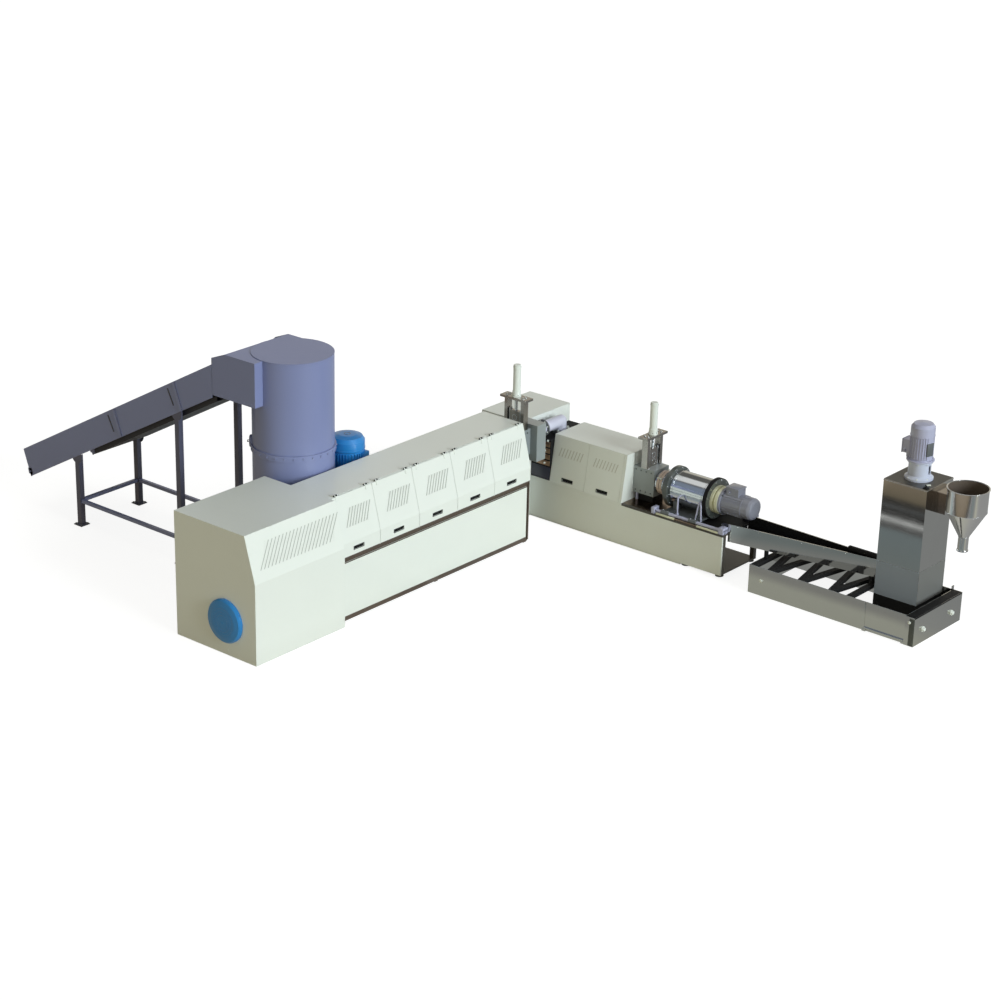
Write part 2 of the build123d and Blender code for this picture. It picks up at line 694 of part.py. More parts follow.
def feed_hood():
    """Head box over the belt's upper end, whose plates end on the compactor's wall."""
    y0, y1 = conv_y0, conv_y1
    outline = [
        (hood_low_x, hood_bottom_z), (hood_end_x, hood_bottom_z), (hood_end_x, hood_top_z),
        (hood_top_x, hood_top_z), (hood_low_x, hood_low_top_z),
    ]
    hood = prism_xz(outline, y0, y1)
    inner = [
        (hood_low_x - 1, hood_bottom_z + SHEET), (hood_end_x - SHEET, hood_bottom_z + SHEET),
        (hood_end_x - SHEET, hood_top_z - SHEET), (hood_top_x, hood_top_z - SHEET),
        (hood_top_x, hood_top_z + 1), (hood_low_x - 1, hood_top_z + 1),
    ]
    hood -= prism_xz(inner, y0 + SHEET, y1 - SHEET)
    return hood - rod_z(DRUM_R + SEAT_GAP, hood_bottom_z - 1, hood_top_z + 20, drum_x, drum_y)


def plate_strip(x_top, length, thick):
    """A raked strip of the side plate's outline, from its top edge to its bottom edge."""
    z = conv_top(x_top)
    lift = thick / conv_cos
    foot_x = x_top + CONV_RAKE_X
    foot_z = conv_top(foot_x) - plate_drop
    dx, dz = length * conv_cos, length * conv_sin
    return [
        (x_top, z - lift), (foot_x, foot_z + lift),
        (foot_x + dx, foot_z + dz + lift), (x_top + dx, z + dz - lift),
    ]


def conveyor_sides():
    """The two side plates of the inclined belt, with a folded top edge and outer ribs."""
    top0 = (conv_low_x, conv_low_z)
    bottom0 = (conv_low_x + CONV_RAKE_X, conv_low_z + CONV_RAKE_X * conv_tan - plate_drop)
    end_x = hood_low_x - SEAT_GAP
    outline = [top0, bottom0, (end_x, conv_top(end_x) - plate_drop), (end_x, conv_top(end_x))]
    lift = SHEET / conv_cos
    fold = [top0, (conv_low_x, conv_low_z - lift), (end_x, conv_top(end_x) - lift), (end_x, conv_top(end_x))]
    sides = []
    for outer, inward in ((conv_y0, 1), (conv_y1, -1)):
        y0, y1 = sorted((outer, outer + inward * SHEET))
        f0, f1 = sorted((outer, outer + inward * EDGE_FOLD))
        side = prism_xz(outline, y0, y1) + prism_xz(fold, f0, f1)
        r0, r1 = sorted((outer, outer - inward * RIB_PROUD))
        for reach in RIB_REACHES:
            side += prism_xz(plate_strip(drum_x - reach, RIB_W, SHEET), r0, r1)
        sides.append(side)
    return sides


def belt_line():
    """The two pulley centres on the belt's middle line."""
    drop = (BELT_DROP + BELT_T + PULLEY_D / 2) / conv_cos
    tail_x = conv_low_x + TAIL_RUN
    head_x = hood_top_x - HEAD_BACK
    return (tail_x, conv_top(tail_x) - drop), (head_x, conv_top(head_x) - drop)


def on_slope(points):
    """Turn points of run and rise from the tail pulley into X and Z."""
    (x, z), _ = belt_line()
    return [(x + u * conv_cos - w * conv_sin, z + u * conv_sin + w * conv_cos) for u, w in points]


def conveyor_belt():
    """One endless belt round both pulleys, with its cleats."""
    (x0, z0), (x1, z1) = belt_line()
    run = math.hypot(x1 - x0, z1 - z0)
    y0, y1 = conv_y0 + SHEET + BELT_SIDE_GAP, conv_y1 - SHEET - BELT_SIDE_GAP
    r_in = PULLEY_D / 2 + SEAT_GAP
    r_out = r_in + BELT_T
    outer = prism_xz(on_slope([(0, -r_out), (run, -r_out), (run, r_out), (0, r_out)]), y0, y1)
    outer += rod_y(r_out, y0, y1, x0, z0) + rod_y(r_out, y0, y1, x1, z1)
    inner = prism_xz(on_slope([(0, -r_in), (run, -r_in), (run, r_in), (0, r_in)]), y0 - 1, y1 + 1)
    inner += rod_y(r_in, y0 - 1, y1 + 1, x0, z0) + rod_y(r_in, y0 - 1, y1 + 1, x1, z1)
    belt = outer - inner
    for index in range(int(run // CLEAT_PITCH)):
        u = CLEAT_PITCH * (index + 0.5)
        foot = r_out - CLEAT_SINK
        points = [(u, foot), (u + CLEAT_T, foot), (u + CLEAT_T, foot + CLEAT_H), (u, foot + CLEAT_H)]
        belt += prism_xz(on_slope(points), y0 + CLEAT_INSET, y1 - CLEAT_INSET)
    return belt


def conveyor_pulleys():
    """The tail and head pulleys, whose shafts run in the side plates and the hood."""
    pieces = []
    for x, z in belt_line():
        pulley = rod_y(PULLEY_D / 2, conv_y0 + SHEET + PULLEY_GAP, conv_y1 - SHEET - PULLEY_GAP, x, z)
        pulley += rod_y(SHAFT_R, conv_y0 + SHEET + SEAT_GAP, conv_y1 - SHEET - SEAT_GAP, x, z)
        pieces.append(pulley)
    return pieces


def conveyor_pan():
    """The slider bed between the belt's runs and the drip tray under the side plates."""
    (x0, z0), (x1, z1) = belt_line()
    run = math.hypot(x1 - x0, z1 - z0)
    y0, y1 = conv_y0 + SHEET, conv_y1 - SHEET
    top = PULLEY_D / 2 - SLIDER_BELOW
    u0, u1, foot = SLIDER_INSET, run - SLIDER_INSET, top - SLIDER_T
    bed = prism_xz(on_slope([(u0, foot), (u1, foot), (u1, top), (u0, top)]), y0, y1)
    end_x = hood_low_x - SEAT_GAP
    z_start, z_end = conv_top(tray_start_x) - plate_drop, conv_top(end_x) - plate_drop
    t = SHEET / conv_cos

    def strip(low, high):
        """A slice along the tray between two heights over the plates' bottom edge."""
        return [
            (tray_start_x, z_start + low), (end_x, z_end + low),
            (end_x, z_end + high), (tray_start_x, z_start + high),
        ]

    w0, w1 = conv_y0 + LEG_W + RUN_GAP, conv_y1 - LEG_W - RUN_GAP
    rim = prism_xz(strip(0, t), y0 + SEAT_GAP, y1 - SEAT_GAP)
    tray = rim + prism_xz(strip(-TRAY_DROP, t), w0, w1)
    tray -= prism_xz([(x - (1 if x == tray_start_x else -1), z) for x, z in strip(t - TRAY_DROP, t + 1)],
                     w0 + SHEET, w1 - SHEET)
    return [bed, tray]


def leg_rows():
    """Where the two rows of conveyor legs start, under the side plates."""
    return conv_y0, conv_y1 - LEG_W


def conveyor_legs():
    """Four legs under the side plates, on square feet, with rounded gussets at their tops."""
    legs = []
    for y in leg_rows():
        plate_y = y if y == conv_y0 else y + LEG_W - GUSSET_T
        for x in (leg_low_x, leg_high_x):
            x0, x1 = x - LEG_W / 2, x + LEG_W / 2
            top0, top1 = (conv_top(edge) - plate_drop - SEAT_GAP for edge in (x0, x1))
            leg = prism_xz([(x0, 0), (x1, 0), (x1, top1), (x0, top0)], y, y + LEG_W)
            foot_y, half = y + LEG_W / 2, LEG_FOOT / 2
            leg += block(x - half, x + half, foot_y - half, foot_y + half, 0, LEG_FOOT_T)
            gusset = rod_y(GUSSET_R, plate_y, plate_y + GUSSET_T, x, (top0 + top1) / 2)
            far = 2 * GUSSET_R
            above = [(x + dx, (top0 + top1) / 2 + dx * conv_tan + dz) for dx, dz in
                     ((-far, 0), (far, 0), (far, far), (-far, far))]
            legs.append(leg + (gusset - prism_xz(above, plate_y - 1, plate_y + GUSSET_T + 1)))
    return legs


def conveyor_rails():
    """The rails that tie the conveyor's legs together, along and across."""
    z0, z1 = RAIL_Z - RAIL_W / 2, RAIL_Z + RAIL_W / 2
    rails = []
    for y in leg_rows():
        middle = y + LEG_W / 2
        rails.append(block(leg_low_x + LEG_W / 2, leg_high_x - LEG_W / 2,
                           middle - RAIL_W / 2, middle + RAIL_W / 2, z0, z1))
    x, (front, back) = leg_low_x, leg_rows()
    rails.append(block(x - RAIL_W / 2, x + RAIL_W / 2, front + LEG_W, back, z0, z1))
    return rails


def screen_blocks():
    """The steel bodies of both screen changers."""
    y0 = guard_y1 + ADAPTOR_L
    first = block(SCREW1_X - BLOCK_ACROSS / 2, SCREW1_X + BLOCK_ACROSS / 2, y0, y0 + BLOCK1_ALONG,
                  SCREW1_Z - BLOCK_H / 2, SCREW1_Z + BLOCK_H / 2)
    second = block(cover_x1, block2_x1, screw2_y - BLOCK_ACROSS / 2, screw2_y + BLOCK_ACROSS / 2,
                   SCREW2_Z - BLOCK_H / 2, SCREW2_Z + BLOCK_H / 2)
    stand = block(cover_x1 + STAND_START, block2_x1 - STAND_STOP, screw2_y - STAND_HALF,
                  screw2_y + STAND_HALF, BED_H, SCREW2_Z - BLOCK_H / 2)
    return [first, second + stand]


def yoke(plane):
    """The yoke over a slide plate: two columns and a top plate, across the local X."""
    shape = plane * Pos(0, 0, YOKE_H + YOKE_PLATE_T / 2) * Box(YOKE_PLATE_W, YOKE_PLATE_D, YOKE_PLATE_T)
    for side in (-1, 1):
        x = side * (YOKE_W - YOKE_COLUMN) / 2
        shape += plane * Pos(x, 0, YOKE_H / 2) * Box(YOKE_COLUMN, YOKE_D, YOKE_H)
    slide = plane * Pos(0, 0, SLIDE_H / 2) * Box(SLIDE_W, SLIDE_D, SLIDE_H)
    return [shape, slide]


def yoke_planes():
    """The places of both yokes on their blocks."""
    y0 = guard_y1 + ADAPTOR_L + BLOCK1_ALONG / 2
    first = Plane(origin=(SCREW1_X, y0, SCREW1_Z + BLOCK_H / 2), x_dir=(1, 0, 0), z_dir=(0, 0, 1))
    second = Plane(origin=((cover_x1 + block2_x1) / 2, screw2_y, SCREW2_Z + BLOCK_H / 2),
                   x_dir=(0, 1, 0), z_dir=(0, 0, 1))
    return first, second


def ram(plane):
    """A hydraulic cylinder on a yoke, with its rod down to the slide plate."""
    r = RAM_D / 2
    foot = YOKE_H + YOKE_PLATE_T
    profile = [
        (0, foot), (r * 1.25, foot), (r * 1.25, foot + RAM_FLANGE), (r, foot + RAM_FLANGE),
        (r, foot + RAM_L - RAM_CHAMFER), (r - RAM_CHAMFER, foot + RAM_L), (0, foot + RAM_L),
    ]
    return turned(profile, plane)


def elbow_box():
    """The insulated box round the melt's elbow, behind the first block."""
    y0 = guard_y1 + ADAPTOR_L + BLOCK1_ALONG
    z = SCREW1_Z - ELBOW_DROP
    return block(SCREW1_X - ELBOW_BOX_W / 2, SCREW1_X + ELBOW_BOX_W / 2, y0, y0 + ELBOW_BOX_D,
                 z - ELBOW_BOX_H / 2, z + ELBOW_BOX_H / 2)


def melt_line():
    """The melt pipe from the elbow box, over and down into the second stage."""
    y0 = guard_y1 + ADAPTOR_L + BLOCK1_ALONG + ELBOW_BOX_D
    z = SCREW1_Z + PIPE_RISE
    pipe = rod_y(PIPE_D / 2, y0, screw2_y, SCREW1_X, z)
    pipe += Pos(SCREW1_X, screw2_y, z) * Sphere(PIPE_D / 2)
    return pipe + rod_z(PIPE_D / 2, BED_H + FEED_BOX_H, z, SCREW1_X, screw2_y)


def second_drive_housing():
    """The closed housing over the second gearbox and motor."""
    y1 = bed_y0 + BED_W
    return block(BED_X0 - DRIVE2_L, BED_X0, y1 - DRIVE2_W, y1, 0, DRIVE2_H)


def feed_box():
    """The dark feed section of the second extruder, between its drive and its cover."""
    y0, y1 = bed_y0 + FEED_BOX_INSET, bed_y0 + BED_W - FEED_BOX_INSET
    return block(BED_X0, feed_box_x1, y0, y1, BED_H, BED_H + FEED_BOX_H)


def bed_frame():
    """Top plate, bottom plate and end posts of the second stage's bed."""
    y1 = bed_y0 + BED_W
    top = block(BED_X0, bed_x1, bed_y0, y1, BED_H - BED_TOP_T, BED_H)
    z0 = FOOT_H + BED_BOTTOM_T
    bottom = block(bed_x1 - BED_OPEN_L, bed_x1, bed_y0 + PANEL, y1 - PANEL, FOOT_H, z0)
    pieces = [top, bottom]
    for y in (bed_y0 + PANEL, y1 - PANEL - BED_POST):
        pieces.append(block(bed_x1 - BED_POST, bed_x1, y, y + BED_POST, z0, BED_H - BED_TOP_T))
    for x in (bed_x1 - BED_OPEN_L + FOOT_INSET_X, bed_x1 - FOOT_INSET_X):
        for y in (bed_y0 + FOOT_INSET_Y, y1 - FOOT_INSET_Y):
            pieces.append(rod_z(FOOT_D / 2, 0, FOOT_H, x, y))
    return pieces


def bed_panels():
    """Front and back sheets of the bed, and the sheet that closes its hollow."""
    y1 = bed_y0 + BED_W
    z0, z1 = FOOT_H, BED_H - BED_TOP_T
    front = block(BED_X0, bed_x1, bed_y0, bed_y0 + PANEL, z0, z1)
    back = block(BED_X0, bed_x1 - BED_OPEN_L, y1 - PANEL, y1, z0, z1)
    core = block(BED_X0, bed_x1 - BED_OPEN_L, bed_y0 + PANEL, y1 - PANEL, 0, z1)
    return front + back + core


def cover_outline(inset):
    """The cover's section, with its front leaning side set back by an inset."""
    y1 = bed_y0 + BED_W
    return [
        (bed_y0 + inset, BED_H), (y1, BED_H), (y1 - COVER_LEAN, COVER_TOP_Z),
        (bed_y0 + COVER_LEAN + inset, COVER_TOP_Z),
    ]


def barrel_cover():
    """The guard over the second barrel, with leaning long sides and a pocket for its doors."""
    doors_x1 = cover_x0 + 2 * COVER_DOOR_L
    set_back = prism_yz(cover_outline(COVER_DOOR_T), cover_x0, doors_x1)
    return set_back + prism_yz(cover_outline(0), doors_x1, cover_x1)


def cover_doors():
    """The two lift-off doors on the cover's leaning front, with vents and pull handles."""
    lean = math.hypot(COVER_LEAN, COVER_TOP_Z - BED_H)
    cos = (COVER_TOP_Z - BED_H) / lean
    plane = Plane(origin=(0, bed_y0, BED_H), x_dir=(1, 0, 0), z_dir=(0, -(COVER_TOP_Z - BED_H), COVER_LEAN))
    doors = []
    for index in range(2):
        x0 = cover_x0 + index * COVER_DOOR_L + SEAT_GAP
        x1 = x0 + COVER_DOOR_L - 2 * DOOR_SEAM
        z0, z1 = BED_H + SEAT_GAP, COVER_TOP_Z
        y0 = bed_y0 + SEAT_GAP * COVER_LEAN / (COVER_TOP_Z - BED_H)
        back = COVER_DOOR_T - SEAT_GAP
        section = [(y0, z0), (y0 + back, z0), (bed_y0 + COVER_LEAN + back, z1), (bed_y0 + COVER_LEAN, z1)]
        door = prism_yz(section, x0, x1)
        middle = (x0 + x1) / 2
        start = middle - (DOOR_SLATS - 1) / 2 * DOOR_SLAT_PITCH - COVER_VENT_H * SLAT_LEAN / 2
        up = (COVER_VENT_Z - BED_H) / cos
        door -= louvres(plane, start, up, DOOR_SLATS, DOOR_SLAT_PITCH, COVER_VENT_H)
        doors.append(door - pull_handle(plane, middle, (COVER_HANDLE_Z - BED_H) / cos))
    return doors


def die_head():
    """The insulated die body and its face plate."""
    body = rod_x(DIE_D / 2, block2_x1, block2_x1 + DIE_L, screw2_y, SCREW2_Z)
    return body + rod_x(DIE_FACE_D / 2, block2_x1 + DIE_L, die_x1, screw2_y, SCREW2_Z)


def slide_rods():
    """Two fixed round rods along the bed, with a clamp block at each end."""
    x0, x1 = die_x1 - ROD_BEFORE, bed_x1
    pieces = []
    for y in (bed_y0 + ROD_Y_INSET + BUSH_R, bed_y0 + BED_W - ROD_Y_INSET - BUSH_R):
        rod = rod_x(ROD_R, x0, x1, y, ROD_Z)
        for x in (x0, x1 - ROD_END_T):
            rod += rod_x(BUSH_R + ROD_CLAMP_WALL, x, x + ROD_END_T, y, ROD_Z)
            rod += block(x, x + ROD_END_T, y - ROD_CLAMP_HALF, y + ROD_CLAMP_HALF, BED_H, ROD_Z)
        pieces.append(rod)
    return pieces


def cutter_chamber():
    """The round cutting chamber, flanged at the die and closed by a disc behind."""
    x0 = die_x1 + SEAT_GAP
    x1 = x0 + CUTTER_FLANGE_T
    x2 = x1 + CUTTER_L
    chamber = rod_x(CUTTER_FLANGE_D / 2, x0, x1, screw2_y, SCREW2_Z)
    chamber += rod_x(CUTTER_D / 2, x1, x2, screw2_y, SCREW2_Z)
    return chamber + rod_x(CUTTER_END_D / 2, x2, x2 + CUTTER_END_T, screw2_y, SCREW2_Z)


def cutter_end_x():
    """Where the chamber's closing disc ends."""
    return die_x1 + SEAT_GAP + CUTTER_FLANGE_T + CUTTER_L + CUTTER_END_T


def cutter_coupling():
    """The two-disc coupling between the cutter's shaft and its motor."""
    x0 = cutter_end_x()
    r, l, g = COUPLING_D / 2, COUPLING_L, COUPLING_GROOVE
    coupling = rod_x(r, x0, x0 + l, screw2_y, SCREW2_Z)
    ring = rod_x(r + 1, x0 + (l - g) / 2, x0 + (l + g) / 2, screw2_y, SCREW2_Z)
    return coupling - (ring - rod_x(r * 0.86, x0 + (l - g) / 2, x0 + (l + g) / 2, screw2_y, SCREW2_Z))


def cutter_motor():
    """The cutter's motor, with its flange and terminal box."""
    x0 = cutter_end_x() + COUPLING_L
    r, l = CUTTER_MOTOR_D / 2, CUTTER_MOTOR_L
    profile = [
        (0, 0), (CUTTER_MOTOR_FLANGE_D / 2, 0), (CUTTER_MOTOR_FLANGE_D / 2, CUTTER_MOTOR_FLANGE_T),
        (r, CUTTER_MOTOR_FLANGE_T), (r, l - 45), (r * 0.9, l - 15), (r * 0.7, l), (0, l),
    ]
    motor = turned(profile, Plane(origin=(x0, screw2_y, SCREW2_Z), x_dir=(0, 1, 0), z_dir=(1, 0, 0)))
    x1, half, top = x0 + CUTTER_BOX_START, CUTTER_BOX_W / 2, SCREW2_Z + r
    return motor + block(x1, x1 + CUTTER_BOX_L, screw2_y - half, screw2_y + half,
                         top - CUTTER_BOX_SINK, top + CUTTER_BOX_RISE)


def cutter_carriage():
    """The carriage plate with its four bushes on the rods and two chamber saddles."""
    x0 = die_x1 + SEAT_GAP + CUTTER_FLANGE_T + RUN_GAP
    x1 = x0 + CUTTER_L - 2 * RUN_GAP
    z0 = ROD_Z - CARRIAGE_T / 2 - CARRIAGE_DROP
    z1 = z0 + CARRIAGE_T
    rods = (bed_y0 + ROD_Y_INSET + BUSH_R, bed_y0 + BED_W - ROD_Y_INSET - BUSH_R)
    carriage = block(x0, x1, rods[0], rods[1], z0, z1)
    for y in rods:
        for x in (x0, x1 - BUSH_L):
            carriage += rod_x(BUSH_R, x, x + BUSH_L, y, ROD_Z)
        carriage -= block(x0 + BUSH_L, x1 - BUSH_L, y - BUSH_R, y + BUSH_R, z0 - 1, z1 + 1)
        carriage -= rod_x(ROD_R + BUSH_FIT, x0 - 1, x1 + 1, y, ROD_Z)
    for x in (x0 + SADDLE_INSET, x1 - SADDLE_INSET - SADDLE_T):
        saddle = block(x, x + SADDLE_T, screw2_y - SADDLE_HALF, screw2_y + SADDLE_HALF,
                       z1, SCREW2_Z - SADDLE_BELOW)
        carriage += saddle - rod_x(CUTTER_D / 2 + SEAT_GAP, x - 1, x + SADDLE_T + 1, screw2_y, SCREW2_Z)
    return carriage


def trough_plan(inset):
    """The trough's tapered plan, inset from its side plates' outer faces."""
    y0, y1 = trough_start_y, trough_start_y + TROUGH_START_W
    e0, e1 = trough_end_y, trough_end_y + TROUGH_END_W
    return [
        (trough_x0, y0 + inset), (trough_x1, e0 + inset),
        (trough_x1, e1 - inset), (trough_x0, y1 - inset),
    ]


def pellet_trough():
    """The tapered trough from the bed's end to the dryer."""
    z0 = TROUGH_TOP_Z - TROUGH_DEPTH
    trough = prism_xy(trough_plan(0), z0, TROUGH_TOP_Z)
    return trough - prism_xy(trough_plan(SHEET), z0 + SHEET, TROUGH_TOP_Z + 1)


def trough_edges(x):
    """The trough's front and back faces at x."""
    share = (x - trough_x0) / (trough_x1 - trough_x0)
    front = trough_start_y + share * (trough_end_y - trough_start_y)
    return front, front + TROUGH_START_W + share * (TROUGH_END_W - TROUGH_START_W)


def brace_bar(start, end, z0, z1):
    """A flat-laid bar in plan from one point to another, cut square to its run."""
    dx, dy = end[0] - start[0], end[1] - start[1]
    length = math.hypot(dx, dy)
    sx, sy = -dy / length * BRACE_W / 2, dx / length * BRACE_W / 2
    corners = [
        (start[0] + sx, start[1] + sy), (start[0] - sx, start[1] - sy),
        (end[0] - sx, end[1] - sy), (end[0] + sx, end[1] + sy),
    ]
    return prism_xy(corners, z0, z1)


def trough_braces():
    """The black zigzag of bars between the base's long walls, with the posts under the trough."""
    z1 = FRAME3_H
    z0 = z1 - BRACE_H
    y0, y1 = frame3_y0 + FRAME3_T, frame3_y0 + FRAME3_W - FRAME3_T
    first = frame3_x0 + FRAME3_T + BRACE_W
    zigzag = block(frame3_x0 + FRAME3_T, frame3_x0 + FRAME3_T + BRACE_W, y0, y1, z0, z1)
    for bay in range(BRACE_BAYS):
        x = first + bay * BRACE_BAY
        zigzag += brace_bar((x + BRACE_BAY / 2, y0), (x, y1), z0, z1)
        zigzag += brace_bar((x + BRACE_BAY / 2, y0), (x + BRACE_BAY, y1), z0, z1)
    end_x = first + BRACE_BAYS * BRACE_BAY
    zigzag += block(end_x, end_x + BRACE_W, y0, y1, z0, z1)
    zigzag &= block(frame3_x0, frame3_x1, y0, y1, z0, z1)
    for x in (frame3_x0 + FRAME3_T, end_x):
        front, back = trough_edges(x + BRACE_POST / 2)
        for y in (front + SHEET, back - SHEET - BRACE_POST):
            zigzag += block(x, x + BRACE_POST, y, y + BRACE_POST, z1, TROUGH_TOP_Z - TROUGH_DEPTH)
    return zigzag


def dryer_base():
    """The stainless base frame, open below, with its proud end box and the tower's bearers."""
    x0, x1, y0, y1 = frame3_x0, frame3_x1, frame3_y0, frame3_y0 + FRAME3_W
    t = FRAME3_T
    base = block(x0, x1, y0, y1, 0, FRAME3_H)
    base -= block(x0 + t, x1 + 1, y0 + t, y1 - t, -1, FRAME3_H + 1)
    end = block(x1, x1 + END_BOX_L, y0 - END_BOX_PROUD, y1, 0, FRAME3_H)
    end -= block(x1 + t, x1 + END_BOX_L - t, y0 - END_BOX_PROUD + t, y1 - t, t, FRAME3_H + 1)
    base += end
    for x in (tower_x0, tower_x0 + TOWER_W - BEARER_W):
        base += block(x, x + BEARER_W, y0 + t / 2, y1 - t / 2, 0, BEARER_H)
    return base


def dryer_tower():
    """The square stainless casing of the centrifugal dryer."""
    return block(tower_x0, tower_x0 + TOWER_W, tower_y0, tower_y0 + TOWER_W, BEARER_H, TOWER_Z1)


def tower_axis():
    """The dryer rotor's place in plan."""
    return tower_x0 + TOWER_W / 2, tower_y0 + TOWER_W / 2


def motor_lantern():
    """The lantern that carries the dryer's motor."""
    x, y = tower_axis()
    r, f, h = LANTERN_D / 2, LANTERN_FLANGE_D / 2, LANTERN_H
    t = LANTERN_FLANGE_T
    profile = [(0, 0), (f, 0), (f, t), (r, t + 30), (r, h - t), (r * 1.1, h - t), (r * 1.1, h), (0, h)]
    lantern = turned(profile, Plane(origin=(x, y, TOWER_Z1)))
    z0 = TOWER_Z1 + (h - LANTERN_WINDOW_H) / 2 + t / 2
    lantern -= rod_z(r - LANTERN_WALL, z0, z0 + LANTERN_WINDOW_H, x, y)
    w = LANTERN_WINDOW_W / 2
    return lantern - block(x - f, x + f, y - w, y + w, z0, z0 + LANTERN_WINDOW_H)


def dryer_motor():
    """The upright motor on top of the dryer, with its fan cowl and terminal box."""
    x, y = tower_axis()
    r, h = DRYER_MOTOR_D / 2, DRYER_MOTOR_H
    z0 = TOWER_Z1 + LANTERN_H
    t = DRYER_MOTOR_BASE_T
    profile = [
        (0, 0), (r * 1.05, 0), (r * 1.05, t), (r * 0.95, t), (r * 0.95, h * 0.66), (r, h * 0.67),
        (r, h - 50), (r * 0.8, h - 12), (0, h),
    ]
    motor = turned(profile, Plane(origin=(x, y, z0)))
    half = TERMINAL_BOX_W / 2
    z1 = z0 + TERMINAL_BOX_Z
    return motor + block(x - r - TERMINAL_BOX_L, x - r / 2, y - half, y + half, z1, z1 + TERMINAL_BOX_H)


def outlet_duct():
    """The short duct from the tower to the cyclone."""
    x0 = tower_x0 + TOWER_W
    _, y = tower_axis()
    z1 = TOWER_Z1 - DUCT_BELOW_TOP
    duct = block(x0, cyclone_axis()[0], y - DUCT_W / 2, y + DUCT_W / 2, z1 - DUCT_H, z1)
    return duct - rod_z(CYCLONE_D / 2 + SEAT_GAP, z1 - DUCT_H - 1, z1 + 1, *cyclone_axis())


def cyclone_axis():
    """The cyclone's place in plan."""
    return tower_x0 + TOWER_W + DUCT_L + CYCLONE_D / 2, tower_y0 + TOWER_W / 2


def cyclone():
    """The open-topped cyclone, with its cone and pellet outlet."""
    r, o, t = CYCLONE_D / 2, CYCLONE_OUT_D / 2, CYCLONE_WALL
    z3 = TOWER_Z1 + CYCLONE_ABOVE_TOWER
    z2 = z3 - CYCLONE_CYL_H
    z1 = z2 - CYCLONE_CONE_H
    z0 = z1 - CYCLONE_OUT_L
    x, y = cyclone_axis()
    profile = [
        (o, z0), (o, z1), (r, z2), (r, z3 - t), (r + CYCLONE_RIM, z3 - t), (r + CYCLONE_RIM, z3),
        (r - t, z3), (r - t, z2), (o - t, z1), (o - t, z0),
    ]
    return turned(profile, Plane(origin=(x, y, 0)))


def main():
    """Build every piece and write it."""
    os.makedirs("parts", exist_ok=True)
    planes = yoke_planes()
    nodes = {
        "drive_housing": drive_housing(),
        "drive_motor_cowl": drive_motor_cowl(),
        "extruder_frame": extruder_frame(),
        "extruder_roof": extruder_roof(),
        "extruder_panels": extruder_panels(),
        "first_barrel": first_barrel(),
        "feed_throat": feed_throat(),
        "compactor_shell": compactor_shell(),
        "compactor_ends": compactor_ends(),
        "compactor_band": compactor_band(),
        "compactor_base": compactor_base(),
        "compactor_legs": compactor_legs(),
        "compactor_motor": compactor_motor(),
        "feed_hood": feed_hood(),
        "conveyor_sides": conveyor_sides(),
        "conveyor_belt": conveyor_belt(),
        "conveyor_pulleys": conveyor_pulleys(),
        "conveyor_pan": conveyor_pan(),
        "conveyor_legs": conveyor_legs(),
        "conveyor_rails": conveyor_rails(),
        "screen_blocks": screen_blocks(),
        "screen_yokes": [piece for plane in planes for piece in yoke(plane)],
        "screen_rams": [ram(plane) for plane in planes],
        "elbow_box": elbow_box(),
        "melt_line": melt_line(),
        "second_drive_housing": second_drive_housing(),
        "feed_box": feed_box(),
        "bed_frame": bed_frame(),
        "bed_panels": bed_panels(),
        "barrel_cover": barrel_cover(),
        "cover_doors": cover_doors(),
        "die_head": die_head(),
        "slide_rods": slide_rods(),
        "cutter_chamber": cutter_chamber(),
        "cutter_coupling": cutter_coupling(),
        "cutter_motor": cutter_motor(),
        "cutter_carriage": cutter_carriage(),
        "pellet_trough": pellet_trough(),
        "trough_braces": trough_braces(),
        "dryer_base": dryer_base(),
        "dryer_tower": dryer_tower(),
        "motor_lantern": motor_lantern(),
        "dryer_motor": dryer_motor(),
        "outlet_duct": outlet_duct(),
        "cyclone": cyclone(),
    }
    for index in range(DOOR_COUNT):
        nodes[f"guard_door_{index + 1}"] = guard_door(index)
    for name, shape in nodes.items():
        save(name, shape)


main()
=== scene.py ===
"""Finishes and small parts of a two-stage plastic recycling and pelletizing line.

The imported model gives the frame, in metres. Each assembly class adds what the solids leave
out, such as louvres, pulls, seams, bolts, fins and skins, and each finish class builds one
procedural material. The camera stands where the photograph was taken from.
"""

import json
import logging
import math
from collections.abc import Iterable, Iterator
from contextlib import contextmanager
from dataclasses import dataclass
from enum import Enum
from itertools import product

import bmesh
import bpy
from mathutils import Matrix, Quaternion, Vector

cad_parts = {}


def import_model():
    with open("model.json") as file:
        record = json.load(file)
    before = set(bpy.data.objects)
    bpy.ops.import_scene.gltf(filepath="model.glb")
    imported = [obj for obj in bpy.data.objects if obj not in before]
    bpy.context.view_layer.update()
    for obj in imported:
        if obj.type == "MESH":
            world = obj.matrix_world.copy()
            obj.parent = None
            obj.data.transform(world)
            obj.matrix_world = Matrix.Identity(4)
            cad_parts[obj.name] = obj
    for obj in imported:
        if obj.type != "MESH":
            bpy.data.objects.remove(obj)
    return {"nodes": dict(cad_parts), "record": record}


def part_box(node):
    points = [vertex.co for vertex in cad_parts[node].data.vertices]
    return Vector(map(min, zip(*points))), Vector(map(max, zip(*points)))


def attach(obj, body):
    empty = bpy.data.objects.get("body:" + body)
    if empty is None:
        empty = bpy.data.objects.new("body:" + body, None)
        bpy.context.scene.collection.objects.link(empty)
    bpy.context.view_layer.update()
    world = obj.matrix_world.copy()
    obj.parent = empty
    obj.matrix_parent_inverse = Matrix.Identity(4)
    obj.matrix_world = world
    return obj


LOG = logging.getLogger("line")
ROOT, CUTTER = "root", "cutter"
Colour = tuple[float, float, float]
Point = tuple[float, float, float]
Socket = bpy.types.NodeSocket
